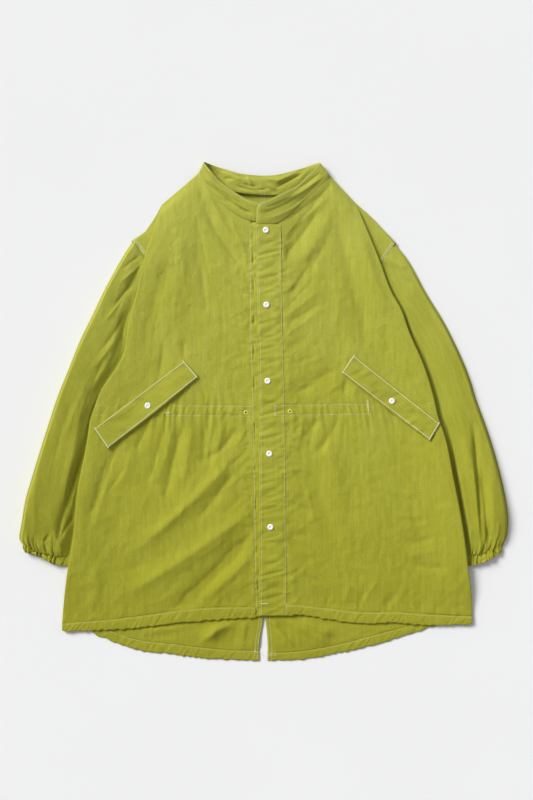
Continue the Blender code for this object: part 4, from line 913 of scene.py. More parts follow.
def back_grid(side):
    """Half of the back: flat rows from the neck down, then the tail."""
    sign = SIGN[side]
    rows = [list(row) for row in BACK_ROWS[side]]
    for y in np.linspace(212, BACK_END + 4, BODY_ROWS):
        rows.append([BACK_MIDDLE[side], y, float(seam_x(side, y)) - sign * 0.3, y])
    rows = np.array(rows, float)
    rows[:5, 1] += 4.0
    s = np.linspace(0.0, 1.0, BACK_COLUMNS)
    grid = [np.stack([mix(a, c, s), mix(b, d, s), np.full_like(s, LYING)], 1)
            for a, b, c, d in rows]
    outer = float(seam_x(side, BACK_END)) - sign
    slit, tail = SLIT[side], FISHTAIL[side]
    for q in np.linspace(0.0, 1.0, TAIL_ROWS):
        inner_y = mix(BACK_END, tail[0].stitch, q)
        inner_x = smooth_through(-inner_y, [-p[1] for p in slit], [p[0] for p in slit])
        x = mix(float(inner_x), mix(outer, tail[-1].x, q), s)
        y = mix(BACK_END, hem_curve(tail, "stitch", x), q)
        relief = fold_relief(x, y, TAIL_FOLDS) * 1.8
        relief = relief + Rumple(13)((x + y) / 34, (y - 0.3 * x) / 16) * 1.3
        relief = relief + Rumple(17)(x / 8, y / 12) * 0.25 + 0.35 * puckers(s, 23, 1.0, 2.0) * q
        past_hem = hem_curve(FRONT_HEM[side], "edge", x) - y
        pressed = mix(0.1, 1.0, ease((past_hem - 1.0) / 16.0))
        rise = ease(q / 0.12) * ease((1.0 - q) / 0.12) * pressed
        grid.append(np.stack([x, y, LYING + 1.2 * ease(q / 0.12)
                              + np.maximum(relief, -0.6) * rise], 1))
    return np.array(grid)


for side in SIGN:
    cloth_piece("shell_back_" + side, back_grid(side), ["back_" + side])

# %% [markdown]
# ## Hem channels
# A channel is the hem turned up over a cord and stitched. The tight seam draws the cloth into
# fine slanting puckers, so each is a strip whose waves lean and change strength along it.

# %% Hem channels
CHANNEL_COLUMNS, CHANNEL_ROWS = 281, 11


def channel_grid(rows, base, waves, turn, depth):
    """A channel from its stitch row to its folded edge."""
    share = np.linspace(0.0, 1.0, CHANNEL_COLUMNS)
    x = mix(rows[0].x, rows[-1].x, share)
    length = abs(rows[-1].x - rows[0].x)
    grid = []
    for q in np.linspace(0.0, 1.0, CHANNEL_ROWS):
        y = mix(hem_curve(rows, "stitch", x) - 0.1, hem_curve(rows, "edge", x), q)
        slant = rows[0].x / abs(rows[0].x) if abs(rows[0].x) > 9 else math.copysign(1, rows[-1].x)
        lean = share * length + slant * 13.0 * q
        wave = Rumple(int(10 * turn))(lean / 4.3, q + lean / 90.0) * 1.5
        wave = depth * (wave + Rumple(int(10 * turn) + 1)(lean / 2.4, 2.5 * q) * 0.7)
        belly = 0.25 + 0.65 * math.sin(math.pi * q) ** 0.7
        wobble = q * (puckers(share, waves * 0.8, 1.0, turn + 1.0)
                      + Rumple(8)(share * 40.0, 0 * share))
        height = np.maximum(base(share) + wave * (0.4 + 0.6 * math.sin(math.pi * q)) + belly,
                            DOUBLE_WALL / 2)
        grid.append(np.stack([x, y + wobble, height], 1))
    return tucked(grid, 2.2, np.minimum(1.2, grid[0][:, 2] - DOUBLE_WALL / 2))


def hem_base(side):
    lap = LAP_STEP if side == "right" else 0.0

    def base(share):
        return HEM_HEIGHT + 0.6 * ease((share - 0.8) / 0.2) + lap * ease(1 - share / 0.15)

    return base


for side in SIGN:
    cloth_piece("shell_hem_front_" + side,
                channel_grid(FRONT_HEM[side], hem_base(side), 30, 1.0, 0.42),
                ["hem_front_" + side], wall=DOUBLE_WALL)
    cloth_piece("shell_hem_back_" + side,
                channel_grid(FISHTAIL[side], lambda share: DOUBLE_WALL / 2 + 0.5, 26, 2.0, 0.34),
                ["hem_back_" + side], wall=DOUBLE_WALL)

# %% [markdown]
# ## Sleeves
# A sleeve is a tube that lies half flat: a full crown over the arm, thin where the body covers
# it. Each ring goes over the top from the outer edge to the hidden one and back beneath. The
# gathers above the cuff fan out and die away over a few centimetres, and a few long soft folds
# run down the arm.

# %% Sleeves
Sleeve = namedtuple("Sleeve", "x y tuck inner_y crown crown_at tucked bow")
SLEEVES = {
    "left": table(Sleeve, """
        -228.6 298.4 30 232 4.4 0.45 4.2 0, -246 272 30 192 6.4 0.4 4 0,
        -276 218 30 142 8.6 0.36 4 0, -300 168 30 102 9.6 0.36 4 0, -321 125 30 66 10.2 0.38 4 0,
        -343 70 30 20 10.8 0.4 4 0, -362 22 30 -20 11.4 0.42 4 0, -387 -55 30 -84 12.4 0.44 4 0,
        -403 -107 30 -132 13.6 0.46 4 0, -416 -152 30 -178 15 0.46 4 0,
        -423 -193 28 -219 15.6 0.46 4 2, -427 -219 24 -242 14.4 0.46 4 6,
        -421 -231 20 -251 9.6 0.46 4 9"""),
    "right": table(Sleeve, """
        229.6 294.4 27 230 4.4 0.45 4.2 0, 254 263 30 184 7 0.4 4 0, 284 209 30 142 9 0.36 4 0,
        317 155 30 100 10 0.36 4 0, 345 98 30 52 10.8 0.38 4 0, 361 58 30 14 11.4 0.4 4 0,
        372 22 30 -16 12 0.42 4 0, 396 -45 30 -78 13.4 0.44 4 0, 415 -112 30 -138 15 0.46 4 0,
        427 -174 30 -194 16.6 0.46 4 1, 426.5 -212 26 -232 16 0.46 4 5,
        419 -231 22 -247 10.4 0.46 4 9"""),
}
SLEEVE_FOLDS = {
    "left": table(Fold, """
        -206 268 -238 214 -262 170 9 -3.2, -222 196 -246 130 -276 70 10 -2.4,
        -276 60 -318 -40 -342 -120 13 1.8, -312 -70 -350 -160 -360 -232 9 -6,
        -396 -110 -402 -170 -396 -225 12 1.6"""),
    "right": table(Fold, """
        208 262 222 252 238 244 7 -1.6, 292 110 318 30 344 -40 14 1.6,
        366 -22 374 -108 379 -222 7 -7.5, 342 -80 352 -160 350 -230 11 2,
        396 -90 404 -160 398 -220 12 2"""),
}
# Where a sleeve rises from under the body: how far out at the top and at the cuff, the short
# and the long run of the slope, and the share of the short one
SLEEVE_FALL = {"left": (0.0, 0.0, 22.0, 100.0, 0.7), "right": (1.0, 6.0, 5.0, 38.0, 0.55)}
SLEEVE_RINGS = 201
SLEEVE_AROUND, CUFF_AROUND = (104, 5, 20), (190, 5, 40)     # over the top, an edge, beneath
SLEEVE_ROUND = 0.35                             # lower is fuller at the outer edge
CROWN_LIFT = {"left": 1.6, "right": 1.2}
CROWN_TILT = {"left": 0.2, "right": -0.25}      # how much higher it is towards the outer edge
CUFF_FALL = 0.66                                # share of the crown left at the cuff
CUFF_GATHERS = 10                               # across the sleeve's upper side
GATHER_FROM = {"left": 364.0, "right": 350.0}   # nearer the body the cuff lies smooth
FINE_SLEEVE_FOLDS = {
    "left": table(Fold, """
        -214 276 -232 262 -246 250 4 -1.6, -212 262 -236 236 -252 226 4 1.7,
        -226 236 -244 204 -262 186 5 -2, -236 216 -256 180 -276 160 5 1.6,
        -240 176 -262 132 -282 110 6 -1.7, -258 130 -280 92 -300 76 6 1.4,
        -276 96 -300 50 -316 0 7 -1.4, -304 60 -330 6 -346 -44 8 0.9,
        -330 30 -352 -30 -366 -90 8 -0.7, -324 -90 -330 -140 -338 -176 5 1.6,
        -326 -176 -346 -196 -354 -222 4 -2.2, -372 -210 -378 -222 -388 -226 3 -2,
        -398 -216 -404 -228 -398 -238 3 -1.8, -352 -236 -362 -222 -366 -204 4 1.6,
        -384 -236 -388 -224 -380 -214 3 1.5, -408 -236 -414 -222 -412 -208 3 1.3"""),
    "right": table(Fold, """
        214 270 236 258 250 250 5 1.4, 222 250 244 232 262 222 5 -1.5,
        240 214 262 180 288 152 7 1.2, 262 176 290 132 312 96 8 -1.1, 290 80 316 40 336 -10 8 -0.9,
        330 70 352 20 368 -30 8 0.6, 340 0 356 -50 364 -110 8 0.8,
        396 -222 390 -204 398 -190 4 -1.9, 404 -226 412 -206 408 -190 4 1.5,
        360 -232 358 -216 364 -202 4 1.5, 384 -230 388 -212 384 -196 4 1.7,
        346 -236 350 -218 346 -204 4 -1.5, 379 -90 388 -166 393 -240 9 -6.5,
        364 -84 373 -155 378 -236 6 3.5"""),
}


def sleeve_across(side, value, reach):
    """(x, y) at a share of the way across a sleeve from its outer edge."""
    inner_x = side_at(side, value["inner_y"], "x") - SIGN[side] * value["tuck"]
    x = mix(value["x"], inner_x, reach)
    y = mix(value["y"], value["inner_y"], reach)
    return x, y - value["bow"] * np.sin(math.pi * np.clip(reach, 0.0, 1.0))


def even_stations(side, count):
    """Stations of the sleeve's table that lie evenly down the arm."""
    rows = SLEEVES[side]
    steps = [math.dist((a.x, a.y), (b.x, b.y)) for a, b in zip(rows, rows[1:])]
    walked = np.concatenate([[0.0], np.cumsum(steps)])
    return np.interp(np.linspace(0.0, walked[-1], count), walked, np.linspace(0.0, 1.0, len(rows)))


def sleeve_grid(side, stations, around, folded=True):
    """Rings of a sleeve: `around` is the points over the top, round an edge, and beneath."""
    rows = SLEEVES[side]
    known = np.linspace(0.0, 1.0, len(rows))
    value = {key: smooth_through(stations, known, [getattr(row, key) for row in rows])[:, None]
             for key in Sleeve._fields}
    top, edge, under = around
    x_in, y_in = sleeve_across(side, value, 1.0)
    width = np.hypot(x_in - value["x"], y_in - value["y"])
    inset = np.minimum(value["tucked"] / 2 + 0.6, 3.2) / width
    share = np.linspace(0.0, 1.0, top + 1)[None, :]
    x, y = sleeve_across(side, value, mix(inset, 1 - inset, share))
    outside = SIGN[side] * (x - side_at(side, y, "x")) - 1.0
    high_start, low_start, run, long_run, near = SLEEVE_FALL[side]
    start = mix(high_start, low_start, ease(stations[:, None] / 0.6))
    open_air = mix(ease((outside - start) / long_run), ease((outside - start) / run), near)
    rise = ease(share / (0.10 * value["crown_at"]))**SLEEVE_ROUND * open_air
    down_arm = ease(stations[:, None] * 2.2) * (0.85 if side == "right" else 0.6)
    low = value["tucked"] * (1.0 - down_arm)
    from_cuff = np.maximum(value["y"] - rows[-1].y, 0.0)
    crown = CROWN_LIFT[side] * value["crown"] * mix(CUFF_FALL, 1.0, ease(from_cuff / 62.0))
    crown = crown * (1.0 + CROWN_TILT[side] * (1.0 - 2.0 * share))
    over = low + (crown - low) * rise
    if folded:
        reach_up = np.maximum(14.0 + 14.0 * Rumple(57)(share * 14.0, 0 * share), 5.0)
        to_cuff = np.exp(-(from_cuff / reach_up)**1.2)
        phase = CUFF_GATHERS * share + 0.35 * np.sin(9 * share) + 0.012 * from_cuff
        gather = 2.0 * np.abs(np.sin(math.pi * phase))**0.6 - 1.2
        gather = gather + 0.7 * Rumple(59)(share * 40.0, from_cuff / 9.0)
        relief = fold_relief(x, y, SLEEVE_FOLDS[side], crisp=0.15) * 1.15
        relief = relief + fold_relief(x, y, FINE_SLEEVE_FOLDS[side], 6, 0.12) * 1.25
        tight = np.where(SIGN[side] * x > GATHER_FROM[side], 1.0, 0.25)
        relief = relief + gather * tight * 3.2 * to_cuff + Rumple(23)(x / 36, y / 60) * 0.9
        relief = relief + Rumple(29)((x + 0.4 * y) / 8, y / 11) * 0.42
        relief = relief + Rumple(30)(x / 4, (y + 0.3 * x) / 5) * 0.14
        relief = np.maximum(relief, -np.maximum(over - low, 0.0) - 0.6)
        over = over + relief * ease(share / 0.10) * ease(outside / 6.0)
    over = np.maximum(over, LYING + 0.9)
    turn = np.linspace(0.0, math.pi, edge + 2)[None, 1:-1]

    def round_edge(reach, edge_top, turn):
        half = (edge_top - LYING) / 2
        return (*sleeve_across(side, value, reach), LYING + half + half * np.cos(turn))

    px, py = sleeve_across(side, value, mix(1 - inset, inset, np.linspace(0, 1, under + 1)[None]))
    back = turn[:, ::-1]
    parts = [(x, y, over), round_edge(1 - inset + inset * np.sin(turn), over[:, -1:], turn),
             (px, py, np.full_like(px, LYING)),
             round_edge(inset - inset * np.sin(back), over[:, :1], back)]
    return np.stack([np.concatenate([part[k] for part in parts], 1) for k in range(3)], 2)


for side in SIGN:
    rings = sleeve_grid(side, even_stations(side, SLEEVE_RINGS), SLEEVE_AROUND)
    beneath = 3.6 * ease((rings[0][:, 2] - LYING) / 1.5)
    cloth_piece("shell_sleeve_" + side, tucked(rings, beneath, 0.45 * beneath), ["sleeve_" + side],
                ring=True, walked=True)

# %% [markdown]
# ## Cuffs
# The end of the sleeve is turned over an elastic, which draws it into tight pleats. The casing is
# a short ring whose pleats are sharp at the crests, uneven in width, and frilled at the edge.

# %% Cuffs
CUFF_EDGE = {
    "left": [(-418, -243), (-404, -246.5), (-388, -252), (-369, -263), (-352, -268),
             (-336, -267), (-322, -264)],
    "right": [(416, -243), (401, -253), (384, -260), (368, -265.5), (352, -268),
              (338, -267), (327, -262)],
}
CUFF_RINGS = 21


def cuff_grid(side):
    """Rings from the sleeve's end to the frilled edge of the casing."""
    upper = sleeve_grid(side, np.array([1.0]), CUFF_AROUND, folded=False)[0]
    edge = along([(x, y, 0) for x, y in CUFF_EDGE[side]], 61)
    down = edge[30, :2] - upper[90, :2]
    down = down / np.linalg.norm(down)
    sideways = np.array([-down[1], down[0]])
    reach = (upper[:, 0] - upper[:, 0].min()) / np.ptp(upper[:, 0])
    if side == "right":
        reach = 1.0 - reach
    target = np.stack([np.interp(reach, np.linspace(0, 1, 61), edge[:, k]) for k in range(2)], 1)
    turn = np.arange(len(upper)) / len(upper)
    uneven = 0.75 + 0.5 * Rumple(37)(turn * 26, 0 * turn)
    uneven = uneven * np.where(SIGN[side] * upper[:, 0] > GATHER_FROM[side], 1.0, 0.25)
    floor = upper[:, 2] < LYING + 0.01
    rings = []
    for q in np.linspace(0.0, 1.0, CUFF_RINGS):
        lean = 0.35 * q
        phase = 13 * turn + 0.5 * np.sin(9 * turn + lean) + 0.4 * np.sin(31 * turn) + lean
        pleat = 2.0 * np.abs(np.sin(math.pi * phase)) ** 0.5 - 1.2
        crimp = np.sin(2 * math.pi * (2.1 * phase + q)) * 0.22
        flat = mix(upper[:, :2] + 0.4 * down, target, q)
        flat = flat + down * (2.2 * q * (pleat + crimp) * uneven)[:, None]
        sway = 1.3 * ease(q / 0.3) * np.sin(2 * math.pi * phase) * uneven
        flat = flat + sideways * sway[:, None]
        outside = SIGN[side] * (flat[:, 0] - side_at(side, flat[:, 1], "x"))
        open_air = ease((outside - 1.0) / 14.0)
        drawn_in = 0.16 * math.exp(-((q - 0.3) / 0.2)**2)
        height = mix(upper[:, 2], 2.0 + 0.72 * upper[:, 2], q) * (1.0 - drawn_in)
        wave = (pleat + crimp) * uneven * 4.2 * (0.5 + 0.5 * ease(q / 0.3))
        height = mix(np.minimum(height, 4.0), height + wave, open_air)
        z = np.where(floor, LYING + 0.5 * (wave + 2.8) * open_air * q, np.maximum(height, 2.6))
        rings.append(np.column_stack([flat, z]))
    return tucked(rings, 2.0, 0.5)


for side in SIGN:
    cloth_piece("shell_cuff_" + side, cuff_grid(side), ["cuff_" + side], ring=True, walked=True)

# %% [markdown]
# ## Collar
# The stand collar is a doubled band that runs all round the neck: it stands over the front, turns
# at the two corners and lies flat at the back, where its inside shows. Tension along the band
# makes long creases that follow it, and the inside at the back has small soft puckers.

# %% Collar
COLLAR_FOLDS = table(Fold, """
    -104 405 -83 384 -48 363 3.4 -2.2, -106 414 -80 389 -34 366 3.4 1.5,
    -73 375 -45 359 -20 347 3.4 -2.1, -58 372 -40 358 -24 352 2.6 1.6,
    -96 388 -84 376 -66 366 2.8 -1.4, -44 358 -32 350 -18 346 2.4 -1.4,
    -3 347 32 356 64 379 5 -2.6, 8 337 43 347 74 372 4 1.6, 57 386 81 403 102 421 3 -1.3,
    46 372 74 389 102 410 3 1.6, 64 363 85 382 106 403 3 -1.2, 0 356 22 360 46 374 2.6 -1.4,
    22 392 43 405 70 418 2.2 -3, 16 399 38 411 62 421 2.6 2.4, -69 407 -60 412 -53 405 2.2 -1.8,
    -34 400 -24 393 -10 396 2 -2, -12 391 -3 386 8 393 2 -1.7, -29 414 -24 403 -20 393 1.9 1.5,
    -48 396 -31 389 -13 387 2 -1.9, -84 424 -72 410 -60 400 3 -2, -76 421 -56 414 -36 404 2.4 1.4,
    2 410 14 404 30 406 2.4 1.3, -46 416 -38 409 -28 410 2 -1.4, 6 400 14 392 24 388 2 1.4""")


COLLAR_ROWS, COLLAR_COLUMNS = 420, 25


def collar_grid():
    """Rows across the band, at stations round the neck."""
    at = np.linspace(0.0, len(COLLAR) - 1.0, COLLAR_ROWS)
    station, lines = at[:, None], collar_lines(at)
    across = np.linspace(0.0, 1.0, COLLAR_COLUMNS)[None, :]
    top, seam = lines[:, None, :3], lines[:, None, 3:]
    grid = mix(top, seam, across[..., None])
    upright = ease((lines[:, 5] - 4.5) / 3.0)[:, None]
    at_corner = hump(station, 7.5, 0.8)
    grid[..., 2] += np.sin(math.pi * across) * upright
    long_creases = Rumple(41)(station / 1.7, across * 3.2 + station * 0.35)
    small = Rumple(43)(station * 1.9, across * 5.0) * 0.30
    small = small + Rumple(44)(station * 7.0, across * 6.0 + station) * 0.22
    back = 1.0 - upright
    puckered = Rumple(47)(station * 2.2 + across * 1.6, across * 2.0)
    dents = long_creases * 1.1 * upright + puckered * 0.9 * back + small
    dents = dents + fold_relief(grid[..., 0], grid[..., 1], COLLAR_FOLDS, 6) * 1.3
    dents = dents * ease(across / 0.14) * ease((1 - across) / 0.14)
    lift = 2.2 + 3.2 * hump(station, 10.1, 0.8)
    lift = lift * back * ease(across / 0.3) * ease((station - 8.3) / 1.2)
    standing = (8.5 * hump(station, 19.9, 1.6, 4) - 4.5 * hump(station, 17.0, 1.1)
                + 4.6 * hump(station, 6.0, 1.5, 4) + 6.5 * hump(station, 11.3, 2.4, 4))
    lift = lift + standing * (1.0 - across) + 7.0 * at_corner * (1.0 - across)**3
    grid[..., 2] = np.maximum(grid[..., 2] + dents + lift, DOUBLE_WALL / 2 + 0.1)
    return grid


cloth_piece("shell_collar", collar_grid(), ["collar_band"], walked=True, wall=DOUBLE_WALL)

# %% [markdown]
# ## Placket
# The right front's placket laps over the left: a doubled strip 50 mm wide, sewn down both sides
# and snapped. Each snap pulls it flat, and between them it buckles into slanting ripples. A
# narrower strip on the left front lies beneath, and only its edge shows.

# %% Placket strips
STRIP_ROWS, STRIP_COLUMNS = 300, 23
Slot = namedtuple("Slot", "x high low depth")
UNDER_SLOTS = [Fold(row.x, row.high, row.x, (row.high + row.low) / 2, row.x + 0.4, row.low, 1.5,
                    -row.depth) for row in table(Slot, """
    -19 314 298 2.2, -18.4 278 256 2.8, -17.6 236 208 2.6, -17.2 172 150 2.8, -17 120 96 1.8,
    -16.6 62 40 2, -15.4 -14 -52 2.8, -14.4 -84 -104 1.8, -13.6 -150 -172 2.6,
    -11.6 -230 -246 1.6, -9.6 -292 -312 2.6""")]     # dips of the strip beside the lap


def under_height(y):
    """Height of the under-placket from the hem up to the neck."""
    return mix(LAP_HEIGHT, HEM_HEIGHT, ease((y + 270) / -70.0)) + 2.4 * ease((y - 270) / 60)


def strip_grid(outer, inner, height, first_y, last_y, seed, ripple, seam, slots=()):
    """A strip down the front edge with slanting ripples that fade at its snaps."""
    y = np.linspace(first_y, last_y, STRIP_ROWS)[:, None]
    q = np.linspace(0.0, 1.0, STRIP_COLUMNS)[None, :]
    x = mix(outer(y), inner(y), q)
    pull = sum(np.exp(-(((y - snap_y) / 16.0)**2) - (((x - snap_x) / 12.0)**2))
               for snap_x, snap_y in SNAPS)
    slant = Rumple(seed)((y + 0.45 * x) / 13.0, q * 1.6 + y / 300.0)
    tight = Rumple(seed + 1)((y - 0.25 * x) / 4.6, q * 2.2)
    off_seam = np.abs(x - front_edge_x(y, seam))
    relief = ripple * (slant * 0.65 + tight * 0.95) * (1.0 - 0.75 * np.clip(pull, 0, 1))
    relief = relief * ease(q / 0.07 + 0.25) * ease((off_seam - 0.8) / 5.0)
    relief = relief + seam_ripples(y, off_seam)
    relief = relief - 2.6 * ease((y - 329.5) / 3.0)
    relief = relief + fold_relief(x, y + 0 * q, slots, 2, 0.1)
    return np.stack([x, y + 0 * q, height(y) + relief + 0.35 * np.sin(math.pi * q)], 2)


cloth_piece("shell_under_placket", strip_grid(
    lambda y: front_edge_x(y, "left_seam") - 1.0,
    lambda y: front_edge_x(y, "left_seam") + 26.0,
    lambda y: under_height(y) - 0.1, 338, -357, 51, 0.8, "left_seam", UNDER_SLOTS),
    ["placket_under"])
cloth_piece("shell_placket", strip_grid(
    lambda y: front_edge_x(y, "lap"), lambda y: front_edge_x(y, "right_seam") + 1.0,
    lambda y: under_height(y) + LAP_STEP - 0.25, 337, -355, 61, 1.6, "right_seam"),
    ["placket"], wall=DOUBLE_WALL)

# %% [markdown]
# ## Pocket flaps
# The flaps are straight slanted strips, sewn along the top edge and both ends, with the lower edge
# free. Each is laid on the front's own surface: its points take the height of the cloth under
# them, smoothed over a fingertip, and the free edge is lifted so that it throws a thin shadow.

# %% Pocket flaps
FLAPS = {
    "left": [(-139, 91), (-114, 62), (-272, -63), (-296, -28)],
    "right": [(157, 101), (136, 70), (290, -49), (308, -19)],
}
FLAP_ROWS, FLAP_COLUMNS = 111, 23


def flap_frame(side):
    """A flap's four corners, and its directions along and across."""
    top_in, low_in, low_out, top_out = corners = [np.array(p, float) for p in FLAPS[side]]
    return corners, *[way / np.linalg.norm(way) for way in (top_out - top_in, low_in - top_in)]


def flap_grid(side, cloth_below):
    """A flap that follows the cloth beneath it and lifts at its lower edge."""
    top_in, low_in, low_out, top_out = flap_frame(side)[0]
    run = np.linspace(0.0, 1.0, FLAP_ROWS)[:, None]
    q = np.linspace(0.0, 1.0, FLAP_COLUMNS)[None, :]
    start = mix(top_in[None, :], low_in[None, :], q.T)
    end = mix(top_out[None, :], low_out[None, :], q.T)
    spots = mix(start[None], end[None], run[..., None])
    spots[..., 1] -= 2.2 * np.sin(math.pi * run) * q
    rest = np.array([[cloth_below(*spot) for spot in row] for row in spots])
    for pick in (np.max, np.mean):
        wide = np.pad(rest, 3, mode="edge")
        rest = pick([wide[i:i + rest.shape[0], j:j + rest.shape[1]]
                     for i in range(7) for j in range(7)], axis=0)
    lift = 3.6 * q**1.5 * np.sin(math.pi * (0.16 + 0.68 * run))
    wave = Rumple(71)(run * 9.0 + q, q * 1.5) * 1.1 + Rumple(73)(run * 27 + 3 * q, q * 2.4) * 0.95
    wave = wave * ease(q / 0.2) * (0.5 + 0.5 * ease(np.minimum(run, 1 - run) / 0.1))
    return np.concatenate([spots, (rest + 0.9 + lift + wave)[..., None]], 2)


for side in SIGN:
    cloth_below = top_of([made["shell_front_" + side][0]])
    cloth_piece("shell_flap_" + side, flap_grid(side, cloth_below), ["flap_" + side], walked=True,
                wall=DOUBLE_WALL)

# %% [markdown]
# ## Topstitching
# Rows of stitches are paths on the finished cloth. Each path is drawn in plan from the same
# outlines as the pieces, and dropped onto the top of the cloth. A Geometry Nodes tree then walks
# the path at the stitch length, sets one small thread capsule at each step and turns it along the
# path. Real topstitching is about eight stitches to 25 mm, so a step is 3.1 mm.

# %% Stitch paths
def on_cloth(path, above, spacing=1.6):
    """A path of (x, y) dropped onto the cloth, as (x, y, z)."""
    path = np.asarray(path, float)
    length = np.linalg.norm(np.diff(path, axis=0), axis=1).sum()
    points = along(path, max(3, int(length / spacing) + 1))
    found = [(x, y, surface(x, y)) for x, y in points]
    return [(x, y, z + above) for x, y, z in found if z is not None]


def beside(path, offset):
    """The path moved sideways by an offset, to its left when that is positive."""
    path = np.asarray(path, float)
    run = np.gradient(path, axis=0)
    run = run / np.linalg.norm(run, axis=1)[:, None]
    return path + offset * np.stack([-run[:, 1], run[:, 0]], 1)


def front_line(column, offset, high, low):
    ys = np.linspace(high, low, 120)
    return np.stack([front_edge_x(ys, column) + offset, ys], 1)


def hem_line(rows, column, offset, first=None, last=None):
    first = rows[0].x if first is None else first
    last = rows[-1].x if last is None else last
    xs = np.linspace(first, last, 120)
    return np.stack([xs, hem_curve(rows, column, xs) + offset], 1)


def collar_line(first, last, share):
    lines = collar_lines(np.linspace(first, last, 160))
    return mix(lines[:, :2], lines[:, 3:5], share)


ARMHOLE_ROW = {"left": [(-227, 298), (-210, 277.5)], "right": [(228, 293.5), (208.5, 266)]}
WAIST_ENDS = {"left": (-157, -170), "right": (182, 187)}     # where the two rows stop
WAIST_SIDE = {"left": -277, "right": 289}                    # short rows again by the side
TAIL_ROW_END = {"left": -276, "right": 250}                  # where the front hem covers the row
surface = top_of([piece for piece, _ in made.values()])
bright_rows, faint_rows = [[(20, 11), (20, -6)]], []
rows_of_stitches = [
    front_line("lap", 4.2, 324, -352), front_line("right_seam", -0.8, 322, -352),
    front_line("left_seam", 0.8, 322, -350), collar_line(1.0, 6.8, 0.07),
    collar_line(15.2, 21.0, 0.07), [(-3, 363.5), (-8.5, 357.5), (-10.8, 350), (-11.2, 331)],
]
for side, sign in SIGN.items():
    faint_rows += [hem_line(FRONT_HEM[side], "stitch", -1.8),
                   hem_line(FISHTAIL[side], "stitch", -1.8, last=TAIL_ROW_END[side])]
    slit = np.array(SLIT[side], float)
    slit = along(np.vstack([slit[1:], 2 * slit[-1] - slit[-2]]), 60)
    rows_of_stitches += [beside(slit, 1.8 * sign), beside(slit, 7.0 * sign)]
    armhole = along(ARMHOLE_ROW[side], 12)
    bright_rows += [beside(armhole, -sign * 1.2), beside(armhole, -sign * 4.4)]
    middle, end = WAIST_LINE[side]
    xs = np.linspace(-21 if side == "left" else 20, -295 if side == "left" else 298, 260)
    share = (xs - xs[0]) / (xs[-1] - xs[0])
    for half, last in zip((WAIST_HALF, -WAIST_HALF), WAIST_ENDS[side]):
        keep = (sign * xs < sign * last) | (sign * xs > sign * WAIST_SIDE[side])
        line = np.stack([xs, mix(middle, end, share) + half], 1)
        rows_of_stitches += [line[keep & (sign * xs < sign * last)],
                             line[keep & (sign * xs > sign * WAIST_SIDE[side])]]
    (top_in, low_in, low_out, top_out), long_way, short_way = flap_frame(side)
    near_in, near_out = top_in + 3 * long_way, top_out - 3 * long_way
    bright_rows += [along([near_in + 2.5 * short_way, near_out + 2.5 * short_way], 60),
                    along([low_in + 3 * long_way - 2.0 * short_way,
                           low_out - 3 * long_way - 2.0 * short_way], 60)]
rows_of_stitches += [[(-3.4, 383), (-4.6, 362)], [(1.4, 383), (1.0, 362)],
                     [(-6.3, 401), (-6.3, 384)],
                     [(15.9 + 5.2 * math.cos(turn), -422.8 + 3.4 * math.sin(turn))
                      for turn in np.linspace(0, 2 * math.pi, 40)]]
stitch_paths, faint_paths, bright_paths = [
    [path for path in (on_cloth(row, 0.12) for row in rows) if len(path) > 1]
    for rows in (rows_of_stitches, faint_rows, bright_rows)]
STRAY_THREAD = [(-5.6, -419.3, 2.6), (-2.5, -423.0, 1.6), (0.5, -425.6, 1.2), (3.7, -427.5, 1.8)]
stitch_paths.append(STRAY_THREAD)
stitched = sum(np.linalg.norm(np.diff(path, axis=0), axis=1).sum() for path in stitch_paths)
print(len(stitch_paths), "rows of stitches,", round(stitched / 1000, 2), "m")

# %% [markdown]
# A stitch is a capsule of thread: a short six-sided rod with closed, rounded ends, 40 faces or
# fewer. The tree takes the paths as edges, turns them into curves, resamples them by the stitch
# length and puts one capsule at each point. Its inputs have names, so the bar tacks use the same
# tree with shorter, fatter and closer stitches. It ends in Realize Instances and Set Material,
# and the result is made a plain mesh.

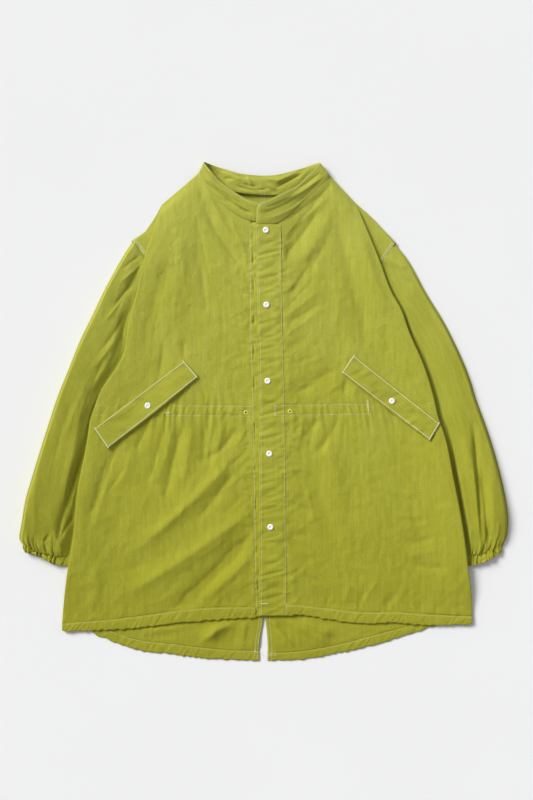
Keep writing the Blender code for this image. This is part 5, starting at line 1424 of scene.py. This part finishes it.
# %% Stitch tree
def stitch_tree():
    """Geometry Nodes: a thread capsule at each step along the paths."""
    tree = bpy.data.node_groups.new("stitches along paths", "GeometryNodeTree")
    face = tree.interface
    face.new_socket("Geometry", in_out="INPUT", socket_type="NodeSocketGeometry")
    for name in ("Stitch length", "Thread length", "Thread radius"):
        face.new_socket(name, in_out="INPUT", socket_type="NodeSocketFloat")
    face.new_socket("Thread", in_out="INPUT", socket_type="NodeSocketMaterial")
    face.new_socket("Geometry", in_out="OUTPUT", socket_type="NodeSocketGeometry")
    start, end, curve, steps, tangent, turn, rod, size, shaped, place, real, smooth, finish = [
        tree.nodes.new(kind) for kind in (
            "NodeGroupInput", "NodeGroupOutput", "GeometryNodeMeshToCurve",
            "GeometryNodeResampleCurve", "GeometryNodeInputTangent",
            "FunctionNodeAlignRotationToVector", "GeometryNodeMeshUVSphere",
            "ShaderNodeCombineXYZ", "GeometryNodeTransform", "GeometryNodeInstanceOnPoints",
            "GeometryNodeRealizeInstances", "GeometryNodeSetShadeSmooth",
            "GeometryNodeSetMaterial")]
    steps.mode = "LENGTH"
    turn.axis = "Z"
    for setting, value in (("Segments", 6), ("Rings", 4), ("Radius", 1.0)):
        rod.inputs[setting].default_value = value
    for a, b in ((start.outputs["Geometry"], curve.inputs[0]),
                 (curve.outputs[0], steps.inputs["Curve"]),
                 (start.outputs["Stitch length"], steps.inputs["Length"]),
                 (tangent.outputs[0], turn.inputs["Vector"]),
                 (start.outputs["Thread radius"], size.inputs["X"]),
                 (start.outputs["Thread radius"], size.inputs["Y"]),
                 (start.outputs["Thread length"], size.inputs["Z"]),
                 (rod.outputs["Mesh"], shaped.inputs["Geometry"]),
                 (size.outputs[0], shaped.inputs["Scale"]),
                 (steps.outputs[0], place.inputs["Points"]),
                 (shaped.outputs[0], place.inputs["Instance"]),
                 (turn.outputs[0], place.inputs["Rotation"]),
                 (place.outputs[0], real.inputs[0]),
                 (real.outputs[0], smooth.inputs["Geometry"]),
                 (smooth.outputs[0], finish.inputs["Geometry"]),
                 (start.outputs["Thread"], finish.inputs["Material"]),
                 (finish.outputs[0], end.inputs[0])):
        tree.links.new(a, b)
    return tree


def sew(name, paths, tree, step, length, radius, thread):
    """Runs the tree on paths in millimetres and keeps the result as a plain mesh."""
    points, edges = [], []
    for path in paths:
        first = len(points)
        points += [tuple(v * MM for v in p) for p in path]
        edges += [(k, k + 1) for k in range(first, len(points) - 1)]
    mesh = bpy.data.meshes.new(name + " paths")
    mesh.from_pydata(points, edges, [])
    guide = placed(name + " paths", mesh)
    run = guide.modifiers.new("stitches", "NODES")
    run.node_group = tree
    values = {"Stitch length": step * MM, "Thread length": length / 2 * MM,
              "Thread radius": radius * MM, "Thread": thread}
    for item in tree.interface.items_tree:
        if item.in_out == "INPUT" and item.name in values:
            run[item.identifier] = values[item.name]
    graph = bpy.context.evaluated_depsgraph_get()
    sewn = bpy.data.meshes.new_from_object(guide.evaluated_get(graph), depsgraph=graph)
    bpy.data.objects.remove(guide, do_unlink=True)
    made[name] = (placed(name, sewn), [])
    print(f"{name}: {len(sewn.polygons)} faces")


STITCH_STEP, STITCH_LENGTH, BAR_STEP, BAR_LENGTH = 3.1, 2.4, 1.3, 1.7
THREAD_RADIUS = {"plain": 0.33, "hem": 0.23, "white": 0.56, "bar": 0.60}
stitches = stitch_tree()
sew("topstitching", stitch_paths, stitches, STITCH_STEP, STITCH_LENGTH,
    THREAD_RADIUS["plain"], cream_thread)
sew("hem_topstitching", faint_paths, stitches, STITCH_STEP, STITCH_LENGTH - 0.2,
    THREAD_RADIUS["hem"], cream_thread)
sew("bright_topstitching", bright_paths, stitches, STITCH_STEP, STITCH_LENGTH + 0.1,
    THREAD_RADIUS["white"], white_thread)

# %% [markdown]
# ## Bar tacks
# Where a seam carries load the machine sews a dense bar: at both ends of each flap, at the ends
# of the waist channel's rows, at the foot of the placket and by the foot of the slit. These are
# white in this parka, and they stand out against the lime.

# %% Bar tacks
def flap_bars(side):
    """The two short ends of a flap, sewn with a tight zigzag."""
    (top_in, low_in, low_out, top_out), long_way, _ = flap_frame(side)
    return [[top_in + 2.2 * long_way, low_in + 2.2 * long_way],
            [top_out - 2.2 * long_way, low_out - 2.2 * long_way]]


bars = [*flap_bars("left"), *flap_bars("right"),
        [(-171, -1), (-163, -1)], [(182, 21), (183, 3)], [(-4, -334), (7, -334)],
        [(-15.5, -416.5), (-13.0, -418.5)]]
bar_paths = [on_cloth(path, 0.15, 0.8) for path in bars]
sew("bar_tacks", bar_paths, stitches, BAR_STEP, BAR_LENGTH, THREAD_RADIUS["bar"], white_thread)

# %% [markdown]
# ## Snaps and eyelets
# A snap cap is a shallow pressed dome with a rolled rim and a fine ring near the middle, turned
# about its axis. It sits level on the cloth that it grips, at the height of that cloth's highest
# spots. An eyelet is a rolled brass ring round an open hole. A near-black disc inside the ring is
# painted shade, for the unlit inside of the garment below the hole.

# %% Snaps and eyelets
SNAP_PROFILE = [(0.0, 1.75), (0.7, 1.8), (1.0, 1.6), (1.2, 0.7), (2.0, 0.7), (2.25, 1.75),
                (2.7, 2.02), (3.4, 2.0), (4.2, 1.86), (4.8, 1.6), (5.2, 1.2), (5.35, 0.75),
                (5.25, 0.25), (4.9, 0.0), (0.0, 0.0)]
EYELET_PROFILE = [(1.75, 0.35), (1.9, 0.75), (2.4, 1.0), (2.9, 1.0), (3.4, 0.7), (3.65, 0.3),
                  (3.6, 0.0), (1.8, 0.0), (1.75, 0.35)]
# A flat disc of painted shade that lies in each eyelet's hole.
PAINTED_SHADE_DISC_PROFILE = [(0.0, 0.42), (2.3, 0.42), (2.3, 0.1), (0.0, 0.1)]


def turned_piece(name, profile, centre, material, node, steps=48):
    """A profile of (radius, height) turned about a vertical axis at `centre`."""
    angles = np.arange(steps) * 2 * math.pi / steps
    work = bmesh.new()
    rings = [[work.verts.new(((centre[0] + radius * math.cos(a)) * MM,
                              (centre[1] + radius * math.sin(a)) * MM,
                              (centre[2] + height) * MM))
              for a in (angles if radius else angles[:1])] for radius, height in profile]
    if profile[0] == profile[-1]:
        for vert in rings.pop():
            work.verts.remove(vert)
        rings.append(rings[0])
    for low, high in zip(rings[:-1], rings[1:]):
        for k in range(steps):
            corners = [low[k % len(low)], low[(k + 1) % len(low)],
                       high[(k + 1) % len(high)], high[k % len(high)]]
            corners = [c for i, c in enumerate(corners) if c != corners[i - 1]]
            work.faces.new(corners)
    bmesh.ops.recalc_face_normals(work, faces=work.faces)
    mesh = bpy.data.meshes.new(name)
    work.to_mesh(mesh)
    work.free()
    mesh.shade_smooth()
    mesh.materials.append(material)
    made[name] = (placed(name, mesh), [node] if node else [])


def seat(ground_height, x, y, radius):
    """The cloth's height under a fitting: the mean of its highest spots."""
    spots = [ground_height(x + radius * r * math.cos(a), y + radius * r * math.sin(a))
             for r in (0.0, 0.6, 1.0) for a in np.linspace(0, 2 * math.pi, 9)[:-1]]
    return float(np.mean(sorted(spots)[-12:]))


CAP_GRIP, EYELET_GRIP = 5.4, 3.6         # radius of the cloth that each fitting sits on
caps = [(str(number), place, "shell_placket") for number, place in enumerate(SNAPS, 1)]
caps += [("flap_" + side, place, "shell_flap_" + side) for side, place in FLAP_SNAPS.items()]
for label, (x, y), cloth in caps:
    height = seat(top_of([made[cloth][0]]), x, y, CAP_GRIP) - 0.1
    turned_piece("snap_cap_" + label, SNAP_PROFILE, (x, y, height), snap_enamel, "snap_" + label)
for side, (x, y) in EYELETS.items():
    centre = (x, y, seat(top_of([made["shell_front_" + side][0]]), x, y, EYELET_GRIP) + 0.1)
    turned_piece("brass_eyelet_" + side, EYELET_PROFILE, centre, dull_brass, "eyelet_" + side)
    # A near-black disc of painted shade sits in the eyelet's hole.
    turned_piece("eyelet_painted_shade_" + side, PAINTED_SHADE_DISC_PROFILE, centre, painted_shade_disc, None, steps=16)
print("snaps", len(SNAPS) + len(FLAP_SNAPS), "eyelets", len(EYELETS))

# %% [markdown]
# ## Joining the pieces to the solids
# Every piece rides on the one body and stands for its solid. Each cloth piece also has the size
# that it was cut to: the rectangle that it is cut from, against which its area of cloth is held.
# The cut is a little larger than what shows by its seam allowances.

CUT_SIZE = {
    "shell_front_left": (0.47, 0.82), "shell_front_right": (0.46, 0.82),
    "shell_back_left": (0.33, 0.86), "shell_back_right": (0.33, 0.86),
    "shell_sleeve_left": (0.30, 0.62), "shell_sleeve_right": (0.30, 0.62),
    "shell_cuff_left": (0.26, 0.03), "shell_cuff_right": (0.24, 0.03),
    "shell_collar": (0.72, 0.04), "shell_placket": (0.06, 0.70),
    "shell_under_placket": (0.03, 0.70),
    "shell_flap_left": (0.22, 0.045), "shell_flap_right": (0.21, 0.045),
    "shell_hem_front_left": (0.36, 0.03), "shell_hem_front_right": (0.34, 0.03),
    "shell_hem_back_left": (0.31, 0.03), "shell_hem_back_right": (0.32, 0.03),
}
for name, (piece, nodes) in made.items():
    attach(piece, "root")
    if nodes:
        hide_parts(*nodes)
for name, size in CUT_SIZE.items():
    piece = made[name][0]
    area = piece["cut_area"]
    if not 0.3 * size[0] * size[1] < area < size[0] * size[1]:
        print("cut size to mend:", name, size, round(area, 4))
print(len(made), "pieces,", len(CUT_SIZE), "sheets")
